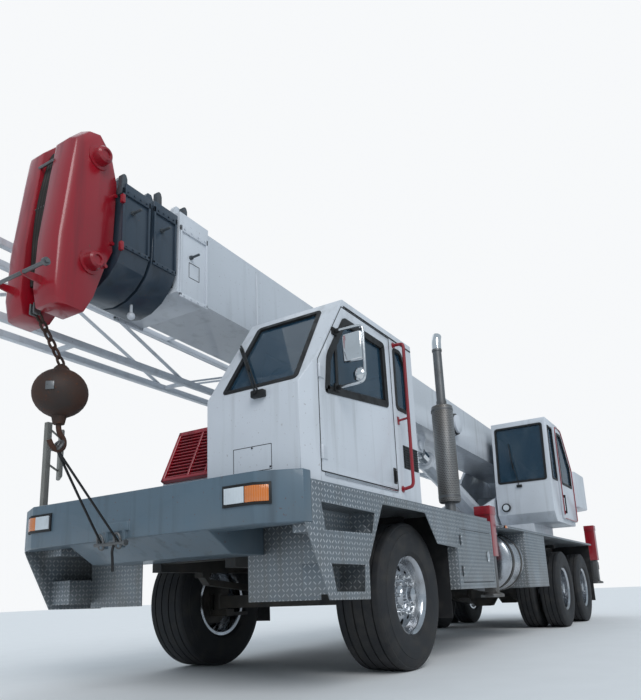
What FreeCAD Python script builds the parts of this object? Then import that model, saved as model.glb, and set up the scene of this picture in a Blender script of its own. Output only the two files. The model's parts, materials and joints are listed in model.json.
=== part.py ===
import FreeCAD, Part
import math
import os
from types import SimpleNamespace

import Sketcher

from FreeCAD import Placement, Rotation, Vector

# Truck crane: a 6x4 carrier with a driver's half cab, and upper works with a four-section boom.
# Lengths are millimetres. X is forward, Y left and Z up. Each piece is drawn with X counted from the
# front axle and is then moved forward by frontAxleX, so that the origin lies under the middle.

doc = FreeCAD.newDocument("TruckCrane")
sheet = doc.addObject("Spreadsheet::Sheet", "Sizes")

# Columns: name, value in mm (degrees where the name says angle), what it measures.
sizeTable = [
    ("frontAxleX", 2640, "front axle ahead of the origin"),
    ("firstRearAxle", 5175, "front axle to first rear axle"),
    ("tandemSpacing", 1375, "first to second rear axle"),
    ("halfWidth", 1295, "half the carrier's width"),
    ("runningGap", 0.3, "gap between seated pieces that move"),
    ("clearance", 6, "open gap round moving pieces"),
    ("wheelSides", 24, "sides of a turned wheel piece"),
    ("roundSides", 12, "sides of other large round pieces"),
    ("smallSides", 8, "sides of small round pieces"),
    ("frontTyreRadius", 562, "front tyre, to the flat of the tread"),
    ("frontTyreWidth", 425, "front tyre section width"),
    ("frontWheelY", 957, "middle of the front wheel"),
    ("rearTyreRadius", 525, "rear tyre, to the flat of the tread"),
    ("rearTyreWidth", 280, "rear tyre section width"),
    ("outerTyreY", 1095, "middle of the outer rear tyre"),
    ("dualSpacing", 330, "middle to middle of twin tyres"),
    ("rimRadius", 286, "rim under the tyre bead"),
    ("rimInner", 264, "inside of the rim barrel"),
    ("frontRimWidth", 330, "front rim barrel width"),
    ("rearRimWidth", 220, "rear rim barrel width"),
    ("discThickness", 22, "wheel disc"),
    ("handHoleRadius", 24, "hand hole in the disc"),
    ("handHoleCircle", 205, "circle of the hand holes"),
    ("hubRadius", 140, "wheel hub flange"),
    ("spindleRadius", 45, "front wheel spindle"),
    ("rearSpindleRadius", 55, "rear axle spindle"),
    ("kingpinY", 800, "steering pivot from the middle"),
    ("kingpinRadius", 22, "steering pivot pin"),
    ("axleEyeRadius", 60, "front axle end eye"),
    ("axleEyeHeight", 140, "front axle end eye"),
    ("railInner", 310, "inner face of a chassis rail"),
    ("railOuter", 400, "outer face of a chassis rail"),
    ("railBottom", 800, "underside of the rails"),
    ("railTop", 1160, "top of the rails"),
    ("frameFront", 1250, "front end of the rails"),
    ("frameRear", 8250, "rear end of the rails, behind the front axle"),
    ("crossHalf", 60, "half the length of a cross member"),
    ("deckFrontBottom", 1235, "underside of the front deck"),
    ("deckRearBottom", 1205, "underside of the rear deck"),
    ("deckThickness", 25, "deck plate with its folded edge"),
    ("deckSplit", 2110, "rear end of the front deck"),
    ("deckRearEnd", 7190, "rear end of the rear deck"),
    ("sheet", 8, "thickness of skirt sheet"),
    ("bumperFront", 1850, "front face of the bumper"),
    ("bumperBack", 1640, "back face of the bumper"),
    ("bumperBottom", 1000, "underside of the bumper"),
    ("bumperTop", 1310, "top of the bumper"),
    ("bumperBend", 1030, "where the bumper's ends bend back"),
    ("bumperSweep", 130, "how far the ends go back"),
    ("troughHalf", 650, "half width of the trough under the bumper"),
    ("troughBottom", 865, "underside of the trough"),
    ("wellDepth", 200, "depth of a step well"),
    ("wellWall", 6, "wall of a step well"),
    ("boxFront", 700, "front of the side boxes"),
    ("toolBoxRear", 1700, "rear of the left tool box"),
    ("toolBoxInner", 905, "inner face of the tool box"),
    ("toolBoxBottom", 585, "underside of the tool box"),
    ("boxWall", 20, "wall of the tool box"),
    ("tankRadius", 330, "fuel tank"),
    ("tankY", 945, "middle of the fuel tank"),
    ("tankHeight", 870, "middle of the fuel tank"),
    ("tankFront", 2330, "front end of the fuel tank"),
    ("tankRear", 2960, "rear end of the fuel tank"),
    ("hoodInner", -80, "right side of the engine hood"),
    ("hoodOuter", 440, "left side of the engine hood"),
    ("hoodTop", 1800, "top of the engine hood"),
    ("hoodWall", 12, "wall of the hood"),
    ("engineBottom", 640, "underside of the engine block"),
    ("stackX", 1200, "exhaust behind the front axle"),
    ("stackY", 1075, "exhaust from the middle"),
    ("shieldRadius", 108, "exhaust shield"),
    ("shieldBottom", 1400, "underside of the exhaust shield"),
    ("shieldTop", 2380, "top of the exhaust shield"),
    ("stackRadius", 47, "exhaust pipe"),
    ("stackTop", 2990, "where the exhaust tip bends"),
    ("cabInner", 470, "right side of the driver's cab"),
    ("cabOuter", 1270, "left side of the driver's cab"),
    ("cabRear", -40, "back of the driver's cab"),
    ("cabFront", 1620, "front of the driver's cab"),
    ("cabCornerLong", 135, "how far the cab's front corner is cut along the side"),
    ("cabCornerWide", 57, "how far the cab's front corner is cut along the front"),
    ("mirrorReach", 1505, "outermost point of the mirrors"),
    ("cabRoof", 2610, "roof of the driver's cab"),
    ("screenFoot", 1890, "foot of the raked windscreen"),
    ("screenHead", 1110, "top of the raked windscreen"),
    ("cabWall", 40, "wall of both cabs"),
    ("glassThickness", 6, "window pane"),
    ("hingeRadius", 9, "barrel of a door hinge"),
    ("doorGap", 5, "gap round a door"),
    ("slewX", 5300, "slewing axis behind the front axle"),
    ("ringRadius", 600, "slewing ring"),
    ("ringTop", 1300, "top of the fixed slewing ring"),
    ("upperDeckTop", 1400, "top of the turntable plate"),
    ("plateInner", 340, "inner face of a turntable side plate"),
    ("plateThickness", 40, "turntable side plate"),
    ("pivotX", 6600, "boom pivot behind the front axle"),
    ("pivotHeight", 2700, "boom pivot"),
    ("pivotRadius", 90, "boom pivot pin"),
    ("counterFront", 7080, "front of the counterweight"),
    ("counterRear", 8050, "rear of the counterweight"),
    ("counterHalf", 1200, "half width of the counterweight"),
    ("counterBottom", 1870, "underside of the counterweight"),
    ("counterTop", 2500, "top of the counterweight"),
    ("opCabInner", 420, "right side of the operator's cab"),
    ("opCabOuter", 1245, "left side of the operator's cab"),
    ("opCabBottom", 1480, "floor of the operator's cab"),
    ("opCabFront", 4950, "front of the operator's cab"),
    ("opCabTop", 3050, "roof of the operator's cab"),
    ("opDoorThickness", 35, "sliding door"),
    ("liftBaseX", 5500, "lower pin of the lift cylinder"),
    ("liftBaseRise", 200, "lower pin of the lift cylinder above the turntable plate"),
    ("liftPinRadius", 60, "lower pin of the lift cylinder"),
    ("liftEyeAlong", 3700, "boom pivot to the lift eye, along the boom"),
    ("liftEyeDrop", 400, "lift eye under the boom pivot"),
    ("barrelRadius", 130, "lift cylinder barrel"),
    ("barrelBore", 115, "lift cylinder bore"),
    ("rodShowing", 435, "rod that shows when the boom is parked"),
    ("rodRadius", 85, "lift cylinder rod"),
    ("liftEyeWidth", 120, "width of the rod's eye"),
    ("liftEyeRadius", 100, "rod's eye"),
    ("restAngle", 1.8, "boom angle when parked"),
    ("boomRise", 48, "boom's middle line above its pivot"),
    ("boomHalfWidth", 300, "base section"),
    ("boomHalfHeight", 300, "base section"),
    ("boomPlate", 15, "plate of the boom sections"),
    ("boomTail", 350, "base section behind the pivot"),
    ("boomBaseFront", 8070, "collar of the base section from the pivot"),
    ("collarLength", 300, "collar of the base section"),
    ("sectionStep", 42, "each section smaller than the one outside it, per side"),
    ("headLength", 225, "grey head of a moving section"),
    ("headGap", 20, "gap between heads when retracted"),
    ("headHalfWidth", 330, "half width of a grey head"),
    ("bellyRadius", 343, "round underside of a grey head"),
    ("bellyShoulder", 215, "where the round underside starts, below the middle line"),
    ("lugHeight", 190, "upright lug on a head"),
    ("tipStart", 8880, "rear of the red head from the pivot"),
    ("tipEnd", 9280, "front of the red head from the pivot"),
    ("tipHalfWidth", 260, "half width of the red head"),
    ("sheaveRadius", 140, "upper sheave"),
    ("tipGroove", 60, "half width of the rope groove in the red head"),
    ("hookPinRadius", 15, "pin that the hook's line hangs from"),
    ("ballRadius", 200, "hook ball"),
    ("jibInner", 600, "inner side of the stowed jib"),
    ("jibOuter", 900, "outer side of the stowed jib"),
    ("jibTube", 36, "side of a jib chord"),
    ("jibLace", 22, "side of a jib lacing tube"),
    ("beamWidth", 190, "outrigger beam"),
    ("beamHeight", 230, "outrigger beam"),
    ("housingWall", 15, "wall round an outrigger beam"),
    ("beamInner", 850, "inner end of an outrigger beam past the middle"),
    ("housingOuter", 1060, "outer end of an outrigger housing"),
    ("housingInner", 880, "inner end of an outrigger housing, past the middle"),
    ("jackY", 1165, "middle of an outrigger jack"),
    ("jackHalf", 82, "half the side of a jack housing"),
    ("legHalf", 60, "half the side of a jack leg"),
]

for row, (name, number, meaning) in enumerate(sizeTable, 1):
    sheet.set(f"A{row}", meaning)
    sheet.set(f"B{row}", str(number))
    sheet.setAlias(f"B{row}", name)
doc.recompute()


class Size:
    """A number together with the sheet expression that it comes from."""

    def __init__(self, value, text=None):
        self.value = float(value)
        self.text = text or repr(float(value))

    def __add__(self, other):
        other = asSize(other)
        return Size(self.value + other.value, f"({self.text} + {other.text})")

    def __sub__(self, other):
        other = asSize(other)
        return Size(self.value - other.value, f"({self.text} - {other.text})")

    def __mul__(self, other):
        other = asSize(other)
        return Size(self.value * other.value, f"({self.text} * {other.text})")

    def __truediv__(self, other):
        other = asSize(other)
        return Size(self.value / other.value, f"({self.text} / {other.text})")

    def __radd__(self, other):
        return asSize(other) + self

    def __rsub__(self, other):
        return asSize(other) - self

    def __rmul__(self, other):
        return asSize(other) * self

    def __rtruediv__(self, other):
        return asSize(other) / self

    def __neg__(self):
        return asSize(0) - self


def asSize(number):
    return number if isinstance(number, Size) else Size(number)


def cosine(angle):
    angle = asSize(angle)
    return Size(math.cos(math.radians(angle.value)), f"cos({angle.text})")


s = SimpleNamespace()
for name, number, meaning in sizeTable:
    setattr(s, name, Size(sheet.get(name), "Sizes." + name))

s.liftBaseHeight = s.upperDeckTop + s.liftBaseRise
pieces = []
planes = {
    "XY": Rotation(),
    "XZ": Rotation(Vector(1, 0, 0), 90),
    "YZ": Rotation(Vector(1, 1, 1), 120),
}
turnedAxes = {
    "X": Rotation(Vector(0, 1, 0), 90),
    "Y": Rotation(Vector(1, 0, 0), -90),
    "Z": Rotation(),
}


def bind(thing, path, size):
    thing.setExpression(path, asSize(size).text)


def place(thing, x=0, y=0, z=0, rotation=None):
    """Stand a feature at a point whose three parts come from the sheet."""
    x, y, z = asSize(x), asSize(y), asSize(z)
    thing.Placement = Placement(Vector(x.value, y.value, z.value), rotation or Rotation())
    for part, size in (("x", x), ("y", y), ("z", z)):
        bind(thing, "Placement.Base." + part, size)
    return thing


def ordered(low, high):
    low, high = asSize(low), asSize(high)
    return (low, high) if low.value <= high.value else (high, low)


def box(x, y, z):
    """Block between two limits along each axis."""
    block = doc.addObject("Part::Box", "Block")
    limits = [ordered(*x), ordered(*y), ordered(*z)]
    for side, (low, high) in zip(("Length", "Width", "Height"), limits):
        bind(block, side, high - low)
    return place(block, limits[0][0], limits[1][0], limits[2][0])


def prism(plane, points, span):
    """Outline of straight edges, drawn in a plane and raised between two limits across it."""
    corners = [(asSize(a), asSize(b)) for a, b in points]
    low, high = ordered(*span)
    sketch = doc.addObject("Sketcher::SketchObject", "Outline")
    count = len(corners)
    spots = [Vector(a.value, b.value, 0) for a, b in corners]
    sketch.addGeometry([Part.LineSegment(spots[index - 1], spots[index]) for index in range(count)])
    rules = [Sketcher.Constraint("Coincident", index, 2, (index + 1) % count, 1) for index in range(count)]
    for index, (a, b) in enumerate(corners):
        rules.append(Sketcher.Constraint("DistanceX", -1, 1, index, 2, a.value))
        rules.append(Sketcher.Constraint("DistanceY", -1, 1, index, 2, b.value))
    sketch.addConstraint(rules)
    for index, (a, b) in enumerate(corners):
        bind(sketch, f"Constraints[{count + index * 2}]", a)
        bind(sketch, f"Constraints[{count + index * 2 + 1}]", b)
    start = {"XY": (0, 0, low), "XZ": (0, high, 0), "YZ": (low, 0, 0)}[plane]
    place(sketch, *start, rotation=planes[plane])
    solid = doc.addObject("Part::Extrusion", "Prism")
    solid.Base = sketch
    solid.DirMode = "Normal"
    solid.Solid = True
    bind(solid, "LengthFwd", high - low)
    return solid


def moved(solid, at=(0, 0, 0), rotation=None):
    """The same solid once more, turned or stood somewhere else."""
    return place(group(solid), *at, rotation=rotation)


def turned(axis, rows, sides, at=(0, 0, 0)):
    """Turned piece with flat sides: its whole cross-section, raised once for each pair of opposite sides, and
    what all of them share. Each row is its place along the axis and its radius to the flats."""
    reach = asSize(max(asSize(radius).value for along, radius in rows) * 1.1)
    outline = [(along, radius) for along, radius in rows] + [(along, -radius) for along, radius in rows[::-1]]
    if axis != "X":
        outline = [(radius, along) for along, radius in outline]
    slab = prism("XY" if axis == "Y" else "XZ", outline, (-reach, reach))
    axisLine = {"X": Vector(1, 0, 0), "Y": Vector(0, 1, 0), "Z": Vector(0, 0, 1)}[axis]
    turn = 360 / asSize(sides).value
    slabs = [moved(slab, rotation=Rotation(axisLine, turn * step)) for step in range(round(180 / turn))]
    solid = doc.addObject("Part::MultiCommon", "Turned")
    solid.Shapes = slabs
    return place(solid, *at)


def rod(axis, span, radius, sides, at):
    """Straight piece with flat sides."""
    low, high = ordered(*span)
    radius, sides = asSize(radius), asSize(sides)
    solid = doc.addObject("Part::Prism", "Rod")
    bind(solid, "Polygon", sides)
    bind(solid, "Circumradius", radius / cosine(180 / sides))
    bind(solid, "Height", high - low)
    half = Rotation(Vector(0, 0, 1), 180 / sides.value)
    offset = {"X": (low, 0, 0), "Y": (0, low, 0), "Z": (0, 0, low)}[axis]
    return place(solid, *[a + b for a, b in zip(map(asSize, at), offset)], rotation=turnedAxes[axis] * half)


def fitRadius(radius, sides):
    """Radius to the flats of a hole in which a flat-sided pin can turn."""
    return radius / cosine(180 / asSize(sides)) + s.runningGap


def fuse(*solids):
    if len(solids) == 1:
        return solids[0]
    whole = doc.addObject("Part::MultiFuse", "Whole")
    whole.Shapes = list(solids)
    whole.Refine = True
    return whole


def cut(base, *tools):
    tool = tools[0] if len(tools) == 1 else fuse(*tools)
    rest = doc.addObject("Part::Cut", "Rest")
    rest.Base = base
    rest.Tool = tool
    return rest


def overlap(first, second):
    both = doc.addObject("Part::Common", "Both")
    both.Base = first
    both.Tool = second
    return both


def group(*solids):
    """Several solids that don't touch, kept as one piece."""
    together = doc.addObject("Part::Compound", "Together")
    together.Links = list(solids)
    return together


def piece(label, solid, rotation=None, x=0, y=0, z=0):
    """Name a finished piece and move it from the drawing's place to its own."""
    if not solid.Placement.isIdentity():
        solid = group(solid)
    solid.Label = label
    place(solid, s.frontAxleX + x, y, z, rotation)
    pieces.append(solid)
    return solid


# Wheels

def bored(solid, span, radius, sides):
    return cut(solid, rod("Y", span, radius, sides, (0, 0, 0)))


def tyre(radius, width):
    half = width / 2
    profile = [(-half, radius * 0.82), (-half * 0.78, radius), (half * 0.78, radius), (half, radius * 0.82)]
    return bored(turned("Y", profile, s.wheelSides), (-half - 1, half + 1), s.rimRadius, s.wheelSides)


def rimBarrel(middle, width):
    half = width / 2
    outer = rod("Y", (middle - half, middle + half), s.rimRadius, s.wheelSides, (0, 0, 0))
    return bored(outer, (middle - half - 1, middle + half + 1), s.rimInner, s.wheelSides)


def handHoles(span):
    holes = []
    for step in range(10):
        turn = math.radians(36 * step + 18)
        at = (s.handHoleCircle * math.cos(turn), 0, s.handHoleCircle * math.sin(turn))
        holes.append(rod("Y", span, s.handHoleRadius, 6, at))
    return holes


def frontRim():
    """Left front rim, drawn round the middle of its tyre."""
    discY = 70
    disc = rod("Y", (discY, discY + s.discThickness), s.rimInner + 1, s.wheelSides, (0, 0, 0))
    hub = turned("Y", [(s.runningGap - 63, 110), (100, s.hubRadius), (150, 95), (200, 80)], s.roundSides)
    holes = handHoles((discY - 1, discY + s.discThickness + 1))
    whole = fuse(rimBarrel(asSize(0), s.frontRimWidth), cut(disc, *holes), hub)
    return bored(whole, (-70, 60), fitRadius(s.spindleRadius, s.smallSides), s.smallSides)


def rearRims():
    """Left pair of rear rims, drawn round the middle of the outer tyre."""
    inner = -s.dualSpacing
    discY = -60
    disc = rod("Y", (discY - s.discThickness, discY), s.rimInner + 1, s.wheelSides, (0, 0, 0))
    hub = turned("Y", [(-440, 120), (-60, s.hubRadius), (60, 115), (95, 90)], s.roundSides)
    innerRim = rod("Y", (inner - s.rearRimWidth / 2, inner + s.rearRimWidth / 2), s.rimRadius, s.wheelSides,
                   (0, 0, 0))
    holes = handHoles((discY - s.discThickness - 1, discY + 1))
    whole = fuse(rimBarrel(asSize(0), s.rearRimWidth), innerRim, cut(disc, *holes), hub)
    return bored(whole, (-450, -20), fitRadius(s.rearSpindleRadius, s.smallSides), s.smallSides)


frontTyre = tyre(s.frontTyreRadius, s.frontTyreWidth)
rearTyre = tyre(s.rearTyreRadius, s.rearTyreWidth)
rearTyres = group(rearTyre, moved(rearTyre, (0, -s.dualSpacing, 0)))
frontRims = frontRim()
rearRimPair = rearRims()
rearAxleTable = [("first", s.firstRearAxle), ("second", s.firstRearAxle + s.tandemSpacing)]
for sideName, side in (("left", 1), ("right", -1)):
    facing = Rotation(Vector(0, 0, 1), 0 if side > 0 else 180)
    for label, solid in (("front_tyre", frontTyre), ("front_rim", frontRims)):
        piece(f"{label}_{sideName}", group(solid), facing, y=s.frontWheelY * side, z=s.frontTyreRadius)
    for axleName, axleX in rearAxleTable:
        for label, solid in (("tyres", rearTyres), ("rims", rearRimPair)):
            piece(f"{axleName}_{label}_{sideName}", group(solid), facing, x=-axleX,
                  y=s.outerTyreY * side, z=s.rearTyreRadius)


# Axles

def frontAxle():
    top = s.frontTyreRadius + 50
    beam = box((-60, 60), (-s.kingpinY + 40, s.kingpinY - 40), (top - 110, top))
    eyes = []
    bores = []
    springs = []
    for side in (1, -1):
        at = (0, s.kingpinY * side, 0)
        height = (s.frontTyreRadius - s.axleEyeHeight / 2, s.frontTyreRadius + s.axleEyeHeight / 2)
        eyes.append(rod("Z", height, s.axleEyeRadius, s.smallSides, at))
        bores.append(rod("Z", height, fitRadius(s.kingpinRadius, s.smallSides), s.smallSides, at))
        leaf = [(-760, 760), (-700, 700), (0, top + 20), (700, 700), (760, 760), (760, 800), (690, 745),
                (0, top + 75), (-690, 745), (-760, 800)]
        springs.append(prism("XZ", leaf, ((s.railInner + 8) * side, (s.railOuter - 8) * side)))
        springs.append(box((-90, 90), ((s.railInner + 8) * side, (s.railOuter - 8) * side),
                           (top, top + 21)))
        for end in (-1, 1):
            springs.append(box(((760 - 60) * end, (760 + 30) * end),
                               (s.railInner * side, s.railOuter * side), (760, s.railBottom)))
    return cut(fuse(beam, *eyes, *springs), *bores)


def knuckle(side):
    """Steering knuckle, drawn round its pivot pin."""
    half = s.axleEyeHeight / 2
    ears = [box((-55, 55), (-50 * side, 94 * side), (half + s.runningGap, half + 60)),
            box((-55, 55), (-110 * side, 94 * side), (-half - 60, -half - s.runningGap))]
    web = box((-75, 75), (70 * side, 94 * side), (-half - 60, half + 60))
    plate = rod("Y", (80 * side, 94 * side), 190, s.smallSides, (0, 0, 0))
    spindle = rod("Y", (90 * side, 205 * side), s.spindleRadius, s.smallSides, (0, 0, 0))
    kingpin = rod("Z", (-half - 62, half + 62), s.kingpinRadius, s.smallSides, (0, 0, 0))
    arm = box((-260, -50), (-110 * side, -62 * side), (-half - 60, -half - 30))
    return fuse(*ears, web, plate, spindle, kingpin, arm)


def rearAxles():
    solids = []
    for axleX in (s.firstRearAxle, s.firstRearAxle + s.tandemSpacing):
        at = (-axleX, 0, s.rearTyreRadius)
        inner = s.outerTyreY - 440 - s.runningGap
        solids.append(turned("Y", [(-inner, 85), (-220, 85), (-120, 210), (120, 210), (220, 85), (inner, 85)],
                             s.smallSides, at))
        reach = s.outerTyreY - 30
        solids.append(rod("Y", (-reach, reach), s.rearSpindleRadius, s.smallSides, at))
    middle = s.firstRearAxle + s.tandemSpacing / 2
    for side in (1, -1):
        across = (s.railOuter * side + 20 * side, s.railOuter * side + 120 * side)
        half = s.tandemSpacing / 2
        beam = [(-middle - half - 90, 460), (-middle - half + 90, 400), (-middle, 330),
                (-middle + half - 90, 400), (-middle + half + 90, 460), (-middle + half + 90, 560),
                (-middle + half - 100, 560), (-middle + 120, 520), (-middle - 120, 520),
                (-middle - half + 100, 560), (-middle - half - 90, 560)]
        solids.append(prism("XZ", beam, across))
        saddle = [(-middle - 110, 500), (-middle + 110, 500), (-middle + 190, s.railBottom),
                  (-middle - 190, s.railBottom)]
        solids.append(prism("XZ", saddle, (s.railInner * side, across[1])))
    return fuse(*solids)


piece("front_axle", frontAxle())
for sideName, side in (("left", 1), ("right", -1)):
    piece(f"knuckle_{sideName}", knuckle(side), y=s.kingpinY * side, z=s.frontTyreRadius)
piece("rear_axles", rearAxles())


# Chassis frame, with the outrigger housings and the fixed slewing ring
# Columns: end of the carrier, side, middle of the beam behind the front axle, middle height of the beam,
# top of the jack housing above it.
jackTable = [
    ("front", 1, 1950, 1010, 410),
    ("front", -1, 1735, 1010, 410),
    ("rear", 1, 8000, 1090, 510),
    ("rear", -1, 7785, 1090, 510),
]
crossTable = [1190, -1400, -2900, -4300, -7100, -8190]
# Columns: place of a deck bearer along the carrier, half its length.
bearerTable = [(1000, 880), (-500, 880), (-1400, 880), (-2700, 600), (-3700, 690), (-6300, 880)]


def frame():
    solids = []
    channels = []
    for side in (1, -1):
        solids.append(box((-s.frameRear, s.frameFront), (s.railInner * side, s.railOuter * side),
                          (s.railBottom, s.railTop)))
    for x in crossTable:
        solids.append(box((x - s.crossHalf, x + s.crossHalf), (-s.railInner, s.railInner),
                          (s.railBottom + 60, s.railTop - 60)))
    for x, reach in bearerTable:
        top = s.deckFrontBottom if x > -s.deckSplit.value else s.deckRearBottom
        solids.append(box((x - 40, x + 40), (-reach, reach), (s.railTop, top)))
    for end, side, beamX, beamZ, rise in jackTable:
        half = s.beamWidth / 2 + s.clearance
        rise = s.beamHeight / 2
        solids.append(box((-beamX - half - s.housingWall, -beamX + half + s.housingWall),
                          (-s.housingInner * side, s.housingOuter * side),
                          (beamZ - rise - s.housingWall, beamZ + rise + s.clearance + s.housingWall)))
        channels.append(box((-beamX - half, -beamX + half),
                            ((-s.housingInner - 1) * side, (s.housingOuter + 1) * side),
                            (beamZ - rise, beamZ + rise + s.clearance)))
    tankSide = s.tankY - s.tankRadius - s.runningGap
    for x in (-2810, -2480):
        solids.append(box((x - 25, x + 25), (s.railOuter - 10, tankSide), (s.railBottom, 1100)))
    solids.append(box((-s.frameRear - 20, -s.frameRear), (-1200, 1200), (820, 950)))
    solids.append(rod("Z", (s.railTop, s.ringTop), s.ringRadius, s.wheelSides, (-s.slewX, 0, 0)))
    return cut(fuse(*solids), *channels)


def outriggerBeam(side, beamX, beamZ, jackRise):
    """Beam with its jack housing, drawn in place."""
    half = s.beamWidth / 2
    rise = s.beamHeight / 2
    beam = box((-beamX - half, -beamX + half),
               (-s.beamInner * side, (s.jackY - s.jackHalf + 20) * side),
               (beamZ - rise + s.runningGap, beamZ + rise))
    jackTop = beamZ + jackRise
    jackBottom = beamZ - 110
    housing = box((-beamX - s.jackHalf, -beamX + s.jackHalf),
                  ((s.jackY - s.jackHalf) * side, (s.jackY + s.jackHalf) * side), (jackBottom, jackTop))
    cap = box((-beamX - s.jackHalf - 12, -beamX + s.jackHalf + 12),
              ((s.jackY - s.jackHalf) * side, (s.jackY + s.jackHalf + 6) * side), (jackTop - 90, jackTop))
    hole = s.legHalf + s.runningGap
    bore = box((-beamX - hole, -beamX + hole), ((s.jackY - hole) * side, (s.jackY + hole) * side),
               (jackBottom - 1, jackTop - 20))
    return cut(fuse(beam, housing, cap), bore)


def jackLeg(side, beamX, beamZ, jackRise):
    leg = box((-beamX - s.legHalf, -beamX + s.legHalf),
              ((s.jackY - s.legHalf) * side, (s.jackY + s.legHalf) * side), (beamZ - 470, beamZ + jackRise - 30))
    foot = turned("Z", [(beamZ - 520, 110), (beamZ - 490, 110), (beamZ - 465, 50)], s.smallSides,
                  (-beamX, s.jackY * side, 0))
    return fuse(leg, foot)


piece("frame", frame())
for end, side, beamX, beamZ, rise in jackTable:
    sideName = "left" if side > 0 else "right"
    drawn = (side, asSize(beamX), asSize(beamZ), rise)
    piece(f"{end}_outrigger_{sideName}", outriggerBeam(*drawn))
    piece(f"{end}_jack_leg_{sideName}", jackLeg(*drawn))


# Deck, bumper and side skirts

def deck():
    front = box((-s.deckSplit, s.bumperBack), (-s.halfWidth, s.halfWidth),
                (s.deckFrontBottom, s.deckFrontBottom + s.deckThickness))
    rear = box((-s.deckRearEnd, -s.deckSplit), (-s.halfWidth, s.halfWidth),
               (s.deckRearBottom, s.deckRearBottom + s.deckThickness))
    step = box((-s.deckSplit - 10, -s.deckSplit), (-s.halfWidth, s.halfWidth),
               (s.deckRearBottom, s.deckFrontBottom + s.deckThickness))
    solids = [front, rear, step]
    notches = [rod("Z", (s.deckRearBottom - 1, s.deckFrontBottom + 40), s.ringRadius + 40, s.wheelSides,
                   (-s.slewX, 0, 0))]
    for side in (1, -1):
        across = ((s.halfWidth - s.sheet) * side, s.halfWidth * side)
        solids.append(box((-30, 722), across, (1190, s.deckFrontBottom)))
        arch = [(-30, s.deckFrontBottom), (-30, 1190), (-250, 955), (-s.boxFront, 938),
                (-s.boxFront, s.deckFrontBottom)]
        solids.append(prism("XZ", arch, across))
        notches.append(box((-2150, -1600), ((s.housingOuter - 10) * side, (s.halfWidth + 5) * side),
                           (s.deckRearBottom - 5, s.deckFrontBottom + 60)))
    return cut(fuse(*solids), *notches)


def bumper():
    outline = [(s.bumperFront, -s.bumperBend), (s.bumperFront, s.bumperBend),
               (s.bumperFront - s.bumperSweep, s.halfWidth), (s.bumperBack, s.halfWidth),
               (s.bumperBack, -s.halfWidth), (s.bumperFront - s.bumperSweep, -s.halfWidth)]
    bar = prism("XY", outline, (s.bumperBottom, s.bumperTop))
    under = [(s.bumperFront - 30, s.bumperBottom), (s.bumperBack - 40, s.troughBottom),
             (s.frameFront, s.troughBottom), (s.frameFront, s.deckFrontBottom),
             (s.bumperBack, s.deckFrontBottom), (s.bumperBack, s.bumperBottom)]
    trough = prism("XZ", under, (-s.troughHalf, s.troughHalf))
    hooks = [box((s.bumperFront, s.bumperFront + 20), (-240, 10), (1050, 1110))]
    for y in (-210, -45):
        hooks.append(box((s.bumperFront, s.bumperFront + 20), (y, y + 25), (940, 1060)))
        hooks.append(box((s.bumperFront, s.bumperFront + 60), (y, y + 25), (940, 970)))
    return fuse(bar, trough, *hooks)


def lamps():
    """Front lamps that wrap round the bumper's bends, side markers and tail lamps."""
    solids = []
    depth = 14
    share = 0.45
    for side in (1, -1):
        bend = s.bumperBend * side
        along = bend + (s.halfWidth - s.bumperBend) * share * side
        outline = [(s.bumperFront, bend - 140 * side), (s.bumperFront + depth, bend - 140 * side),
                   (s.bumperFront + depth, bend + 6 * side),
                   (s.bumperFront + depth - s.bumperSweep * share, along + 6 * side),
                   (s.bumperFront - s.bumperSweep * share, along), (s.bumperFront, bend)]
        solids.append(prism("XY", outline, (1095, 1205)))
        solids.append(box((-2260, -2160), (s.halfWidth * side, (s.halfWidth + 14) * side), (1195, 1228)))
        solids.append(box((-s.frameRear - 45, -s.frameRear - 20), (950 * side, 1150 * side), (835, 935)))
    return group(*solids)


# Columns: front top, front bottom, rear bottom and rear top corner of a step well's mouth, each x then z.
wellTable = [
    ((1539, 1132), (1500, 967), (900, 976), (848, 1119)),
    ((1446, 771), (1398, 607), (1043, 600), (1023, 768)),
]


def sideSteps(side):
    across = ((s.halfWidth - s.sheet) * side, s.halfWidth * side)
    outline = [(s.bumperBack, s.deckFrontBottom), (s.bumperBack, s.bumperBottom), (1720, s.bumperBottom),
               (1700, 957), (1480, 560), (975, 550), (968, 790), (722, 1188), (722, s.deckFrontBottom)]
    skirt = prism("XZ", outline, across)
    mouths = [prism("XZ", well, ((s.halfWidth - 20) * side, (s.halfWidth + 10) * side)) for well in wellTable]
    wells = []
    for well in wellTable:
        low = min(z for x, z in well)
        high = max(z for x, z in well)
        rear = min(x for x, z in well)
        front = max(x for x, z in well)
        inner = s.halfWidth - s.sheet - s.wellDepth
        shell = box((rear - s.wellWall, front + s.wellWall), (inner * side, across[0]),
                    (low - s.wellWall, high + s.wellWall))
        space = box((rear, front), ((inner + s.wellWall) * side, (s.halfWidth + 20) * side), (low, high))
        wells.append(cut(shell, space))
    panel = box((s.frameFront - s.sheet, s.frameFront), (510 * side, (s.halfWidth - 210) * side),
                (560, s.deckFrontBottom))
    return fuse(cut(skirt, *mouths), *wells), panel


piece("deck", deck())
piece("bumper", bumper())
piece("lamps", lamps())
leftSkirt, leftPanel = sideSteps(1)
rightSkirt, rightPanel = sideSteps(-1)
piece("side_steps", group(leftSkirt, leftPanel, rightSkirt, rightPanel))


# Boxes and tanks along the sides

def hinges(x, y, heights):
    """Hinge barrels on a door's front edge, each with the leaf that holds it."""
    solids = []
    for z in heights:
        barrel = rod("Z", (z - 45, z + 45), s.hingeRadius, s.smallSides,
                     (x, y + fitRadius(s.hingeRadius, s.smallSides), 0))
        leaf = box((x - 70, x), (y + s.runningGap, y + 7), (z - 40, z + 40))
        solids += [barrel, leaf, box((x - 70, x - 20), (y - 1, y + 1), (z - 40, z + 40))]
    return solids


toolDoor = ((-1640, -780), (640, 1110))


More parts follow.
